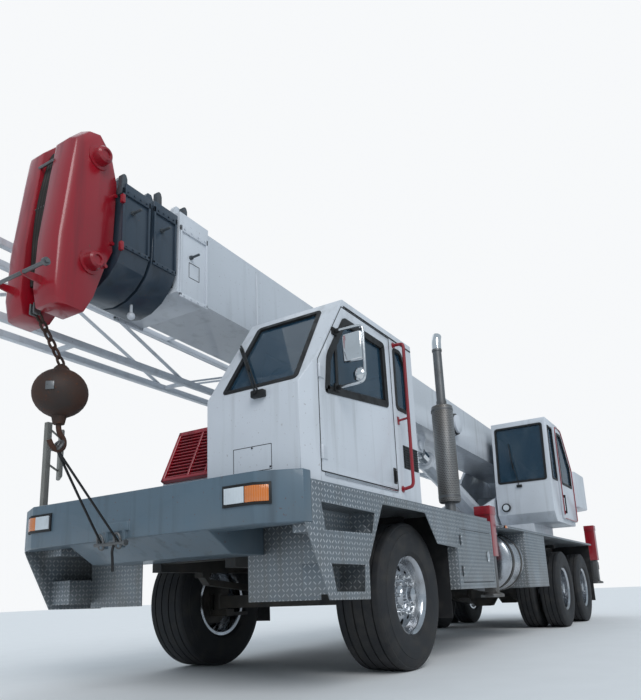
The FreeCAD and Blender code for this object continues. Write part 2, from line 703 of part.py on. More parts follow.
def sideBoxes():
    outer = box((-s.toolBoxRear, -s.boxFront), (s.toolBoxInner, s.halfWidth),
                (s.toolBoxBottom, s.deckFrontBottom))
    space = box((-s.toolBoxRear + s.boxWall, -s.boxFront - s.boxWall),
                (s.toolBoxInner + s.boxWall, s.halfWidth - s.boxWall),
                (s.toolBoxBottom + s.boxWall, s.deckFrontBottom - s.boxWall))
    mouth = box(toolDoor[0], (s.halfWidth - s.boxWall - 1, s.halfWidth + 1), toolDoor[1])
    toolBox = cut(outer, space, mouth)
    battery = box((-3920, -2980), (700, 1285), (570, s.deckRearBottom))
    rightBox = box((-1590, -s.boxFront), (-s.halfWidth, -s.toolBoxInner), (s.toolBoxBottom, s.deckFrontBottom))
    oilTank = box((-3920, -2400), (-1285, -700), (570, s.deckRearBottom))
    return group(toolBox, battery, rightBox, oilTank)


def toolBoxDoor():
    gap = s.doorGap
    panel = box((toolDoor[0][0] + gap, toolDoor[0][1] - s.runningGap), (s.halfWidth - s.boxWall, s.halfWidth),
                (toolDoor[1][0] + gap, toolDoor[1][1] - gap))
    return fuse(panel, *hinges(toolDoor[0][1], s.halfWidth, (740, 1010)))


def fuelTank():
    at = (0, s.tankY, s.tankHeight)
    return turned("X", [(-s.tankRear, s.tankRadius - 60), (-s.tankRear + 30, s.tankRadius),
                        (-s.tankFront - 30, s.tankRadius), (-s.tankFront, s.tankRadius - 60)],
                  s.wheelSides, at)


def mudFlaps():
    flaps = []
    for side in (1, -1):
        flaps.append(box((-s.boxFront, -s.boxFront + s.sheet), (750 * side, 1200 * side),
                         (350, s.deckFrontBottom)))
        flaps.append(box((-s.deckRearEnd, -s.deckRearEnd + s.sheet), (640 * side, 1250 * side),
                         (300, s.deckRearBottom)))
    return group(*flaps)


piece("side_boxes", sideBoxes())
piece("tool_box_door", toolBoxDoor())
piece("fuel_tank", fuelTank())
piece("mud_flaps", mudFlaps())


# Engine, hood, grille and exhaust

deckTop = s.deckFrontBottom + s.deckThickness


def hood():
    outline = [(-1250, deckTop), (1480, deckTop), (1480, 1400), (1290, s.hoodTop), (-1250, s.hoodTop)]
    wall = s.hoodWall
    inside = [(-1250 + wall, deckTop - 1), (1480 - wall, deckTop - 1), (1480 - wall, 1400),
              (1290 - wall, s.hoodTop - wall), (-1250 + wall, s.hoodTop - wall)]
    outer = prism("XZ", outline, (s.hoodInner, s.hoodOuter))
    inner = prism("XZ", inside, (s.hoodInner + wall, s.hoodOuter - wall))
    return cut(outer, inner)


def grille():
    """Raked red grille: a frame and its slats in front of the hood."""
    foot = (1480, 1400)
    head = (1290, s.hoodTop)
    rake = (head[0] - foot[0]) / (s.hoodTop.value - foot[1])
    low = s.hoodInner + 20
    high = s.hoodOuter - 10
    rails = []
    for y in (low, high - 30):
        side = [(foot[0], foot[1]), (foot[0] + 45, foot[1]), (head[0] + 45, s.hoodTop), (head[0], s.hoodTop)]
        rails.append(prism("XZ", side, (y, y + 30)))
    count = 8
    pitch = (s.hoodTop - foot[1] - 30) / count
    for step in range(count + 1):
        z = foot[1] + pitch * step
        x = foot[0] + (z - foot[1]) * rake
        slat = [(x, z), (x + 42, z), (x + 42 + 30 * rake, z + 30), (x + 30 * rake, z + 30)]
        rails.append(prism("XZ", slat, (low, high)))
    return fuse(*rails)


def exhaust():
    at = (-s.stackX, s.stackY, 0)
    foot = rod("Z", (deckTop, s.shieldBottom), 60, s.smallSides, at)
    shield = turned("Z", [(s.shieldBottom, s.shieldRadius - 18), (s.shieldBottom + 25, s.shieldRadius),
                          (s.shieldTop - 25, s.shieldRadius), (s.shieldTop, s.shieldRadius - 18)],
                    s.roundSides, at)
    pipe = rod("Z", (s.shieldTop - 5, s.stackTop), s.stackRadius, s.roundSides, at)
    tip = prism("XZ", [(-s.stackX - 52, s.stackTop), (-s.stackX + 52, s.stackTop),
                       (-s.stackX + 34, s.stackTop + 90), (-s.stackX - 22, s.stackTop + 170),
                       (-s.stackX - 78, s.stackTop + 90)], (s.stackY - 40, s.stackY + 40))
    return fuse(foot, shield, pipe, tip)


piece("hood", hood())
piece("grille", grille())
piece("engine", box((-1250, 50), (-s.railInner, s.railInner), (s.engineBottom, s.railTop)))
piece("exhaust", exhaust())


# Driver's cab

def windowPane(slab, mouth):
    return overlap(slab, mouth)


cabBase = deckTop
doorOutline = [(385, 1330), (1475, 1330), (1475, 2055), (1130, 2545), (385, 2545)]
doorWindow = [(475, 1965), (1385, 1865), (1350, 2120), (1105, 2460), (490, 2460)]
quarterWindow = [(95, 1985), (315, 1985), (315, 2480), (185, 2490), (95, 2370)]
screenOutline = [(s.cabInner + 130, 1920), (s.cabOuter - 85, 1920), (s.cabOuter - 150, 2540),
                 (s.cabInner + 110, 2540)]


def cabProfile(inset):
    slope = (s.cabFront - s.screenHead) / (s.cabRoof - s.screenFoot)
    roof = s.cabRoof - inset
    return [(s.cabRear + inset, cabBase + inset), (s.cabFront - inset, cabBase + inset),
            (s.cabFront - inset, s.screenFoot), (s.cabFront - inset - (roof - s.screenFoot) * slope, roof),
            (s.cabRear + inset, roof)]


def cabMouths():
    return {
        "screen": prism("YZ", screenOutline, (1010, 1700)),
        "quarter": prism("XZ", quarterWindow, (s.cabOuter - s.cabWall - 5, s.cabOuter + 5)),
        "right": prism("XZ", [(200, 1950), (1100, 1950), (1000, 2420), (200, 2420)],
                       (s.cabInner - 5, s.cabInner + s.cabWall + 5)),
        "rear": box((s.cabRear - 5, s.cabRear + s.cabWall + 5), (s.cabInner + 120, s.cabOuter - 120),
                    (1950, 2400)),
    }


def cabPlan(inset):
    """The cab from above, its front left corner cut off."""
    left = s.cabOuter - inset
    front = s.cabFront - inset
    return [(s.cabRear, s.cabInner), (front, s.cabInner), (front, left - s.cabCornerWide + inset * 0.4),
            (front - s.cabCornerLong + inset * 0.9, left), (s.cabRear, left)]


def driverCab():
    outer = overlap(prism("XZ", cabProfile(asSize(0)), (s.cabInner, s.cabOuter)),
                    prism("XY", cabPlan(asSize(0)), (cabBase, s.cabRoof)))
    inner = overlap(prism("XZ", cabProfile(s.cabWall), (s.cabInner + s.cabWall, s.cabOuter - s.cabWall)),
                    prism("XY", cabPlan(s.cabWall), (cabBase, s.cabRoof)))
    doorway = prism("XZ", doorOutline, (s.cabOuter - s.cabWall - 5, s.cabOuter + 5))
    return cut(outer, inner, doorway, *cabMouths().values())


def driverGlass():
    mouths = cabMouths()
    thick = s.glassThickness
    middle = s.cabWall / 2
    slope = (s.cabFront - s.screenHead) / (s.cabRoof - s.screenFoot)
    low = s.screenFoot
    high = s.cabRoof - s.cabWall - 10
    rise = high - low
    screen = prism("XZ", [(s.cabFront - middle, low), (s.cabFront - middle + thick, low),
                          (s.cabFront - middle + thick - rise * slope, high),
                          (s.cabFront - middle - rise * slope, high)], (s.cabInner, s.cabOuter))
    side = box((s.cabRear, s.cabFront), (s.cabOuter - middle, s.cabOuter - middle + thick), (1500, s.cabRoof))
    right = box((s.cabRear, s.cabFront), (s.cabInner + middle - thick, s.cabInner + middle),
                (1500, s.cabRoof))
    rear = box((s.cabRear + middle - thick, s.cabRear + middle), (s.cabInner, s.cabOuter), (1500, s.cabRoof))
    return group(windowPane(screen, mouths["screen"]), windowPane(side, mouths["quarter"]),
                 windowPane(right, mouths["right"]), windowPane(rear, mouths["rear"]))


def driverDoor():
    hingeX = max(x for x, z in doorOutline)
    outline = [(hingeX - s.runningGap if x == hingeX else x + s.doorGap if x == doorOutline[0][0] else x,
                z + s.doorGap if z == doorOutline[0][1] else z - s.doorGap) for x, z in doorOutline]
    panel = prism("XZ", outline, (s.cabOuter - s.cabWall, s.cabOuter))
    window = prism("XZ", doorWindow, (s.cabOuter - s.cabWall - 5, s.cabOuter + 5))
    return fuse(cut(panel, window), *hinges(hingeX, s.cabOuter, (1450, 1980)))


def driverDoorGlass():
    middle = s.cabOuter - s.cabWall / 2
    return prism("XZ", doorWindow, (middle, middle + s.glassThickness))


def seat(x, y, floor):
    """Seat on its pedestal, facing forward."""
    pedestal = box((x - 170, x + 170), (y - 160, y + 160), (floor, floor + 260))
    cushion = box((x - 250, x + 250), (y - 240, y + 240), (floor + 260, floor + 400))
    back = prism("XZ", [(x - 270, floor + 330), (x - 150, floor + 400), (x - 260, floor + 960),
                        (x - 370, floor + 960)], (y - 230, y + 230))
    return fuse(pedestal, cushion, back)


def driverSeat():
    floor = cabBase + s.cabWall
    middle = (s.cabInner + s.cabOuter) / 2
    sill = s.screenFoot
    dash = prism("XZ", [(1350, sill - 340), (s.cabFront - s.cabWall, sill - 340),
                        (s.cabFront - s.cabWall, sill - 30), (1410, sill - 40), (1350, sill - 90)],
                 (s.cabInner + s.cabWall, s.cabOuter - s.cabWall - s.cabCornerWide))
    column = prism("XZ", [(1100, sill + 160), (1150, sill + 180), (1430, sill - 90), (1380, sill - 130)],
                   (middle - 30, middle + 30))
    wheel = prism("XZ", [(960, sill + 110), (1290, sill + 220), (1283, sill + 245), (953, sill + 135)],
                  (middle - 200, middle + 200))
    hollow = prism("XZ", [(990, sill + 100), (1265, sill + 190), (1250, sill + 260), (975, sill + 170)],
                   (middle - 165, middle + 165))
    spoke = prism("XZ", [(965, sill + 110), (1287, sill + 218), (1283, sill + 240), (958, sill + 132)],
                  (middle - 30, middle + 30))
    return group(seat(asSize(420), middle, floor), fuse(dash, column, cut(wheel, hollow), spoke))


# Grab rails and mirrors

def grabRails():
    x = 305
    out = s.cabOuter + 90
    rail = rod("Z", (1360, 2510), 14, 8, (x, out, 0))
    feet = [rod("Y", (s.cabOuter, out), 12, 8, (x, 0, z)) for z in (1375, 1876, 2495)]
    return fuse(rail, *feet)


def doorMirror():
    """Left mirror with its frame, carried by the driver's door."""
    x = 1255
    out = s.mirrorReach - 12
    arms = [rod("Y", (s.cabOuter, out + 10), 10, 6, (x, 0, z)) for z in (2300, 1845)]
    stem = rod("Z", (1835, 2310), 10, 6, (x, out, 0))
    glass = box((x - 22, x + 22), (out - 150, out - 5), (2070, 2270))
    spot = rod("X", (x - 18, x + 12), 45, s.smallSides, (0, out - 40, 1960))
    return fuse(*arms, stem, glass, spot)


def rightMirror():
    """Right mirror, turned to the driver, on a post that stands on the bumper."""
    post = box((1645, 1690), (-1190, -1145), (s.bumperTop, 2020))
    middle = (1360, 86 - s.mirrorReach)
    plate = [(middle[0] + 30, middle[1] + 86), (middle[0] + 60, middle[1] + 69),
             (middle[0] - 30, middle[1] - 86), (middle[0] - 60, middle[1] - 69)]
    arm = [(1666, -1183), (1654, -1167), (middle[0] - 1, middle[1] + 12), (middle[0] + 11, middle[1] - 4)]
    arms = [prism("XY", arm, (z, z + 20)) for z in (1680, 1970)]
    return fuse(post, prism("XY", plate, (1630, 2045)), *arms)


piece("driver_cab", driverCab())
piece("driver_glass", driverGlass())
piece("driver_door", group(driverDoor(), doorMirror()))
piece("driver_door_glass", driverDoorGlass())
piece("driver_seat", driverSeat())
piece("grab_rails", grabRails())
piece("right_mirror", rightMirror())


# Turntable and counterweight

def turntable():
    ring = rod("Z", (s.ringTop + s.runningGap, s.upperDeckTop), s.ringRadius, s.wheelSides, (-s.slewX, 0, 0))
    tray = box((-s.counterFront, -4350), (-560, 560), (s.upperDeckTop - 60, s.upperDeckTop))
    solids = [ring, tray]
    holes = []
    for side in (1, -1):
        across = (s.plateInner * side, (s.plateInner + s.plateThickness) * side)
        outline = [(-4350, s.upperDeckTop - 1), (-s.counterFront, s.upperDeckTop - 1),
                   (-s.counterFront, 2400), (-6900, 2820), (-6600, 2930), (-6250, 2850),
                   (-5200, 1950), (-4350, 1700)]
        solids.append(prism("XZ", outline, across))
    for x, z, radius in ((-s.pivotX, s.pivotHeight, s.pivotRadius),
                         (-s.liftBaseX, s.liftBaseHeight, s.liftPinRadius)):
        holes.append(rod("Y", (-500, 500), fitRadius(radius, s.roundSides), s.roundSides, (x, 0, z)))
    drumAt = (-6500, 0, 1900)
    drum = rod("Y", (-s.plateInner - 5, s.plateInner + 5), 210, s.smallSides, drumAt)
    bracket = box((-6250, -5050), (500, 900), (s.upperDeckTop, s.opCabBottom))
    shelf = box((-6250, -5050), (500, 900), (s.upperDeckTop - 60, s.upperDeckTop + 1))
    return cut(fuse(*solids, drum, bracket, shelf), *holes)


def counterweight():
    outline = [(-s.counterFront, -s.counterHalf + 60), (-s.counterFront, s.counterHalf - 60),
               (-s.counterFront - 60, s.counterHalf), (-s.counterRear + 160, s.counterHalf),
               (-s.counterRear, s.counterHalf - 200), (-s.counterRear, -s.counterHalf + 200),
               (-s.counterRear + 160, -s.counterHalf), (-s.counterFront - 60, -s.counterHalf)]
    return prism("XY", outline, (s.counterBottom, s.counterTop))


piece("turntable", turntable())
piece("counterweight", counterweight())


# Operator's cab

opProfile = [(-6350, s.opCabBottom), (-5080, s.opCabBottom), (-s.opCabFront, 1620), (-s.opCabFront, 2060),
             (-5040, s.opCabTop), (-5850, s.opCabTop), (-6400, 2450), (-6430, 1900)]
opDoorway = [(-6290, 1580), (-5480, 1580), (-5480, 2930), (-5830, 2930), (-6290, 2400)]
opDoorOutline = [(-6350, 1540), (-5440, 1540), (-5440, 2970), (-5845, 2970), (-6350, 2390)]
opDoorWindow = [(-6230, 2080), (-5540, 2080), (-5540, 2880), (-5810, 2880), (-6230, 2400)]


def inset(points, wall):
    """Corners of a convex outline moved inwards by a wall."""
    values = [(asSize(x).value, asSize(z).value) for x, z in points]
    count = len(values)
    moved = []
    for index in range(count):
        before = values[index - 1]
        here = values[index]
        after = values[(index + 1) % count]
        first = (here[0] - before[0], here[1] - before[1])
        second = (after[0] - here[0], after[1] - here[1])
        firstLength = math.hypot(*first)
        secondLength = math.hypot(*second)
        firstNormal = (-first[1] / firstLength, first[0] / firstLength)
        secondNormal = (-second[1] / secondLength, second[0] / secondLength)
        scale = 1 + firstNormal[0] * secondNormal[0] + firstNormal[1] * secondNormal[1]
        shift = ((firstNormal[0] + secondNormal[0]) / scale, (firstNormal[1] + secondNormal[1]) / scale)
        moved.append((asSize(points[index][0]) + wall * shift[0], asSize(points[index][1]) + wall * shift[1]))
    return moved


def opMouths():
    return {
        "screen": prism("YZ", [(s.opCabInner + 60, 2100), (s.opCabOuter - 60, 2100),
                               (s.opCabOuter - 60, 2960), (s.opCabInner + 60, 2960)], (-5200, -4900)),
        "quarter": prism("XZ", [(-5400, 2120), (-5080, 2120), (-5130, 2930), (-5400, 2930)],
                         (s.opCabOuter - s.cabWall - 5, s.opCabOuter + 5)),
        "right": prism("XZ", [(-6200, 2120), (-5150, 2120), (-5200, 2900), (-5850, 2900), (-6200, 2500)],
                       (s.opCabInner - 5, s.opCabInner + s.cabWall + 5)),
        "rear": box((-6500, -6300), (s.opCabInner + 100, s.opCabOuter - 100), (1980, 2380)),
    }


def operatorCab():
    outer = prism("XZ", opProfile, (s.opCabInner, s.opCabOuter))
    inner = prism("XZ", inset(opProfile, s.cabWall), (s.opCabInner + s.cabWall, s.opCabOuter - s.cabWall))
    doorway = prism("XZ", opDoorway, (s.opCabOuter - s.cabWall - 5, s.opCabOuter + 5))
    return cut(outer, inner, doorway, *opMouths().values())


def operatorGlass():
    mouths = opMouths()
    middle = s.cabWall / 2
    shellOut = inset(opProfile, middle - s.glassThickness)
    shellIn = inset(opProfile, middle)
    skin = cut(prism("XZ", shellOut, (s.opCabInner, s.opCabOuter)),
               prism("XZ", shellIn, (s.opCabInner - 1, s.opCabOuter + 1)))
    left = box((-6500, -4900), (s.opCabOuter - middle, s.opCabOuter - middle + s.glassThickness), (2000, 3000))
    right = box((-6500, -4900), (s.opCabInner + middle - s.glassThickness, s.opCabInner + middle),
                (2000, 3000))
    return group(windowPane(skin, mouths["screen"]), windowPane(left, mouths["quarter"]),
                 windowPane(right, mouths["right"]), windowPane(skin, mouths["rear"]))


def operatorDoor():
    across = (s.opCabOuter + s.runningGap, s.opCabOuter + s.opDoorThickness)
    window = prism("XZ", opDoorWindow, (s.opCabOuter - 5, s.opCabOuter + s.opDoorThickness + 5))
    return cut(prism("XZ", opDoorOutline, across), window)


def operatorDoorGlass():
    low = s.opCabOuter + 14
    return prism("XZ", opDoorWindow, (low, low + s.glassThickness))


def operatorSeat():
    floor = s.opCabBottom + s.cabWall
    middle = (s.opCabInner + s.opCabOuter) / 2
    console = box((-5330, -5230), (middle - 150, middle + 150), (floor, floor + 500))
    return group(seat(asSize(-5880), middle, floor), console)


piece("operator_cab", operatorCab())
piece("operator_glass", operatorGlass())
piece("operator_door", operatorDoor())
piece("operator_door_glass", operatorDoorGlass())
piece("operator_seat", operatorSeat())


# Boom, drawn level with its pivot at the origin and then tipped up to its parked angle

boomTip = Rotation(Vector(0, -1, 0), s.restAngle.value)
boomPlace = {"rotation": boomTip, "x": -s.pivotX, "z": s.pivotHeight}


def tube(along, halfWidth, halfHeight, wall):
    start, end = along
    middle = s.boomRise
    outer = box((start, end), (-halfWidth, halfWidth), (middle - halfHeight, middle + halfHeight))
    inner = box((start - 1, end + 1), (-halfWidth + wall, halfWidth - wall),
                (middle - halfHeight + wall, middle + halfHeight - wall))
    return outer, inner


def lug(x, base):
    """Upright finger with a round top."""
    outline = [(x - 55, base), (x + 45, base), (x + 38, base + s.lugHeight * 0.75),
               (x + 15, base + s.lugHeight), (x - 20, base + s.lugHeight), (x - 40, base + s.lugHeight * 0.8)]
    return prism("XZ", outline, (100, 150))


def boomBase():
    collarEnd = s.boomBaseFront + s.collarLength
    outer, inner = tube((-s.boomTail, collarEnd), s.boomHalfWidth, s.boomHalfHeight, s.boomPlate)
    collar = box((s.boomBaseFront, collarEnd), (-s.headHalfWidth, s.headHalfWidth),
                 (s.boomRise - s.boomHalfHeight - 25, s.boomRise + s.boomHalfHeight + 12))
    trunnion = rod("Y", (-s.plateInner - s.plateThickness, s.plateInner + s.plateThickness), s.pivotRadius,
                   s.roundSides, (0, 0, 0))
    bosses = []
    ears = []
    for side in (1, -1):
        bosses.append(rod("Y", ((s.boomHalfWidth - 5) * side, (s.plateInner - s.runningGap) * side), s.pivotRadius + 50,
                          s.roundSides, (0, 0, 0)))
        earIn = (s.liftEyeWidth / 2 + s.runningGap) * side
        earOut = (s.liftEyeWidth / 2 + 41) * side
        x = s.liftEyeAlong
        ear = [(x - 220, -s.boomHalfHeight + s.boomRise + 5), (x - 90, -s.liftEyeDrop - 90),
               (x + 90, -s.liftEyeDrop - 90), (x + 220, -s.boomHalfHeight + s.boomRise + 5)]
        ears.append(prism("XZ", ear, (earIn, earOut)))
        ears.append(rod("Y", (earOut - 1 * side, earOut + 25 * side), 60, s.smallSides,
                        (x, 0, -s.liftEyeDrop)))
    brackets = []
    for x in (7900, 4700, 1500):
        brackets.append(box((x - 40, x + 40), (-s.jibInner + s.runningGap, -s.boomHalfWidth + 5), (-60, 50)))
    shell = cut(fuse(outer, collar), inner)
    return fuse(shell, trunnion, *bosses, *ears, *brackets, lug(s.boomBaseFront + 150,
                s.boomRise + s.boomHalfHeight + 12))


def movingSection(order):
    """Section 2 or 3: tube, rear wear shoe and the grey head with its round underside."""
    halfWidth = s.boomHalfWidth - s.sectionStep * order
    halfHeight = s.boomHalfHeight - s.sectionStep * order
    rear = 400 + 200 * order
    headStart = s.boomBaseFront + s.collarLength + s.headGap * order + s.headLength * (order - 1)
    headEnd = headStart + s.headLength
    wall = s.boomPlate
    outer, inner = tube((asSize(rear), headEnd), halfWidth, halfHeight, wall)
    shoeHalfWidth = halfWidth + s.sectionStep - wall - s.runningGap
    shoeHalfHeight = halfHeight + s.sectionStep - wall - s.runningGap
    shoe, unused = tube((asSize(rear), asSize(rear + 160)), shoeHalfWidth, shoeHalfHeight, wall)
    doc.removeObject(unused.Name)
    middle = s.boomRise
    width = s.headHalfWidth - 6 * (order - 1)
    shoulder = middle - s.bellyShoulder
    belly = []
    for step in range(1, 8):
        turn = math.radians(-164 + 148 * step / 8)
        belly.append((s.bellyRadius * math.cos(turn),
                      shoulder + 94 + s.bellyRadius * math.sin(turn)))
    outline = [(width, shoulder), (width, middle + 272 - 10 * order), (-width, middle + 272 - 10 * order),
               (-width, shoulder)] + belly
    head = prism("YZ", outline, (headStart, headEnd))
    shell = cut(fuse(outer, shoe, head), inner)
    return fuse(shell, lug(headStart + s.headLength / 2, middle + 272 - 10 * order))


def boomTipSection():
    halfWidth = s.boomHalfWidth - s.sectionStep * 3
    halfHeight = s.boomHalfHeight - s.sectionStep * 3
    wall = s.boomPlate
    outer, inner = tube((asSize(1000), s.tipStart + 150), halfWidth, halfHeight, wall)
    shoe, unused = tube((asSize(1000), asSize(1160)), halfWidth + s.sectionStep - wall - s.runningGap,
                        halfHeight + s.sectionStep - wall - s.runningGap, wall)
    doc.removeObject(unused.Name)
    return cut(fuse(outer, shoe), inner)


def boomHead():
    """Red head: two cheeks either side of the rope groove, with the sheaves on pins between them."""
    m = s.boomRise
    start = s.tipStart
    end = s.tipEnd
    outline = [(start, m - 250), (start, m + 250), (start + 60, m + 440), (start + 160, m + 530),
               (end - 150, m + 530), (end - 60, m + 420), (end - 40, m + 200), (end, m - 300),
               (end, m - 620), (end - 30, m - 740), (end - 220, m - 740), (end - 280, m - 620),
               (start + 40, m - 350)]
    solids = []
    halfWidth = s.boomHalfWidth - s.sectionStep * 3
    tail = box((start - 1, start + 151), (-halfWidth, halfWidth),
               (m - s.boomHalfHeight + s.sectionStep * 3, m + s.boomHalfHeight - s.sectionStep * 3))
    for side in (1, -1):
        cheek = prism("XZ", outline, (s.tipGroove * side, s.tipHalfWidth * side))
        plan = [(start - 1, (s.tipGroove - 1) * side), (end + 1, (s.tipGroove - 1) * side),
                (end - 30, (s.tipGroove + 110) * side), (end - 100, (s.tipHalfWidth + 1) * side),
                (start - 1, (s.tipHalfWidth + 1) * side)]
        solids.append(overlap(cheek, prism("XY", plan, (m - 750, m + 620))))
    solids.append(rod("Y", (-s.tipGroove - 1, s.tipGroove + 1), s.hookPinRadius, s.smallSides,
                      (end - 70, 0, m - 700)))
    for x, z, radius, width in ((end - 240, m + 355, s.sheaveRadius, 45), (end - 235, m - 400, asSize(135), 45)):
        solids.append(rod("Y", (-width, width), radius, s.roundSides, (x, 0, z)))
        solids.append(rod("Y", (-s.tipHalfWidth - 45, s.tipHalfWidth + 45), 55, s.roundSides, (x, 0, z)))
    return cut(fuse(*solids), tail)


def latticeJib():
    """Stowed four-chord jib on the right of the boom, wide at its front end."""
    front = 9600
    rear = 300
    tube = s.jibTube
    lace = s.jibLace
    solids = []
    m = s.boomRise
    topFront, topRear = m - 10, m - 60
    lowFront, lowRear = m - 560, m - 330
    bays = 8
    for y in (-s.jibInner - tube, -s.jibOuter):
        for high, low in ((topFront, topRear), (lowFront, lowRear)):
            chord = [(rear, low), (front, high), (front, high + tube), (rear, low + tube)]
            solids.append(prism("XZ", chord, (y, y + tube)))
    pitch = (front - rear) / bays
    for bay in range(bays):
        x = rear + pitch * bay
        share = bay / bays
        nextShare = (bay + 1) / bays
        top = topRear + (topFront - topRear) * share
        low = lowRear + (lowFront - lowRear) * share
        nextTop = topRear + (topFront - topRear) * nextShare
        nextLow = lowRear + (lowFront - lowRear) * nextShare
        for y in (-s.jibInner - tube * 0.8, -s.jibOuter + tube * 0.2):
            if bay % 2:
                brace = [(x, top), (x + lace, top), (x + pitch + lace, nextLow + 10), (x + pitch, nextLow + 10)]
            else:
                brace = [(x, low + 10), (x + lace, low + 10), (x + pitch + lace, nextTop + 5),
                         (x + pitch, nextTop + 5)]
            solids.append(prism("XZ", brace, (y, y + lace)))
        for z in (top, low):
            solids.append(box((x, x + lace), (-s.jibOuter, -s.jibInner), (z + 6, z + 6 + lace)))
    return fuse(*solids)


def hookBall():
    """Ball with its hook, short chain and line, drawn in place."""
    at = (2420, 0, 1850)
    rows = []
    for step in range(6):
        turn = math.radians(-70 + 28 * step)
        rows.append((s.ballRadius * math.sin(turn), s.ballRadius * math.cos(turn)))
    ball = turned("Z", rows, s.roundSides, at)
    hook = prism("XZ", [(2400, 1665), (2440, 1665), (2445, 1600), (2490, 1560), (2480, 1500), (2430, 1475),
                        (2375, 1490), (2355, 1530), (2385, 1540), (2400, 1515), (2440, 1520), (2445, 1550),
                        (2400, 1600)], (-18, 18))
    hang = (2626, 0, 2337.6)
    line = prism("XZ", [(2395, 2030), (2440, 2030), (2640, 2312), (2612, 2330)], (-16, 16))
    reach = s.tipGroove - s.runningGap
    eye = rod("Y", (-reach, reach), s.hookPinRadius * 2, s.smallSides, hang)
    hole = rod("Y", (-reach - 1, reach + 1), fitRadius(s.hookPinRadius, s.smallSides), s.smallSides, hang)
    return cut(fuse(ball, hook, line, eye), hole)


piece("boom_base", boomBase(), **boomPlace)
piece("boom_section_2", movingSection(1), **boomPlace)
piece("boom_section_3", movingSection(2), **boomPlace)
piece("boom_tip", boomTipSection(), **boomPlace)
piece("boom_head", boomHead(), **boomPlace)
piece("jib", latticeJib(), **boomPlace)
piece("hook_ball", hookBall())


# Lift cylinder, drawn along X with its lower pin at the origin

restRadians = math.radians(s.restAngle.value)
eyeX = (-s.pivotX.value + s.liftEyeAlong.value * math.cos(restRadians)
        + s.liftEyeDrop.value * math.sin(restRadians))
eyeZ = (s.pivotHeight.value + s.liftEyeAlong.value * math.sin(restRadians)
        - s.liftEyeDrop.value * math.cos(restRadians))
liftLength = math.hypot(eyeX + s.liftBaseX.value, eyeZ - s.liftBaseHeight.value)
s.barrelLength = liftLength - s.rodShowing
liftAngle = math.degrees(math.atan2(eyeZ - s.liftBaseHeight.value, eyeX + s.liftBaseX.value))
liftPlace = {"rotation": Rotation(Vector(0, -1, 0), liftAngle), "x": -s.liftBaseX, "z": s.liftBaseHeight}


def liftBarrel():
    body = rod("X", (90, s.barrelLength), s.barrelRadius, s.roundSides, (0, 0, 0))
    eye = rod("Y", (-110, 110), s.liftPinRadius + 50, s.roundSides, (0, 0, 0))
    lower = rod("Y", (-s.plateInner - s.plateThickness, s.plateInner + s.plateThickness), s.liftPinRadius,
                s.roundSides, (0, 0, 0))
    bore = rod("X", (170, s.barrelLength + 1), s.barrelBore, s.roundSides, (0, 0, 0))
    lid = rod("X", (s.barrelLength - 60, s.barrelLength), s.barrelBore + 1, s.roundSides, (0, 0, 0))
    way = rod("X", (s.barrelLength - 61, s.barrelLength + 1), s.rodRadius + s.runningGap, s.roundSides,
              (0, 0, 0))
    return fuse(cut(body, bore), eye, lower, cut(lid, way))


def liftRod():
    shaft = rod("X", (260, liftLength - 215), s.rodRadius, s.roundSides, (0, 0, 0))
    half = s.liftEyeWidth / 2
    neck = box((liftLength - 216, liftLength - 40), (-half, half), (-70, 70))
    piston = rod("X", (240, 340), s.barrelBore - s.runningGap, s.roundSides, (0, 0, 0))
    eye = rod("Y", (-s.liftEyeWidth / 2, s.liftEyeWidth / 2), s.liftEyeRadius, s.roundSides,
              (liftLength, 0, 0))
    hole = rod("Y", (-s.liftEyeWidth / 2 - 1, s.liftEyeWidth / 2 + 1), 55, s.smallSides, (liftLength, 0, 0))
    return cut(fuse(shaft, neck, piston, eye), hole)


piece("lift_barrel", liftBarrel(), **liftPlace)
piece("lift_rod", liftRod(), **liftPlace)


doc.recompute()

for thing in doc.Objects:
    if "Invalid" in thing.State or "Error" in thing.State:
        raise RuntimeError(f"{thing.Name} ({thing.Label}) failed: {thing.State}")

os.makedirs("parts", exist_ok=True)
for solid in pieces:
    if solid.Shape.isNull() or not solid.Shape.isValid():
        raise RuntimeError(f"{solid.Label} has no valid shape")
    solid.Shape.exportStep(f"parts/{solid.Label}.step")
    bounds = solid.Shape.BoundBox
    print(solid.Label, len(solid.Shape.Solids), "solids", round(solid.Shape.Volume / 1e9, 4), "m3",
          [round(value) for value in (bounds.XMin, bounds.XMax, bounds.YMin, bounds.YMax, bounds.ZMin,
                                      bounds.ZMax)])
print(len(pieces), "pieces; lift cylinder", round(liftLength), "mm at", round(liftAngle, 2), "degrees")
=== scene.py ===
# Truck crane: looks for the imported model. Lengths are metres; X is forward, Y left and Z up.
# Pieces are drawn with X counted from the front axle and are then moved onto the frame.
import json
import math

import bmesh
import bpy
from mathutils import Matrix, Vector

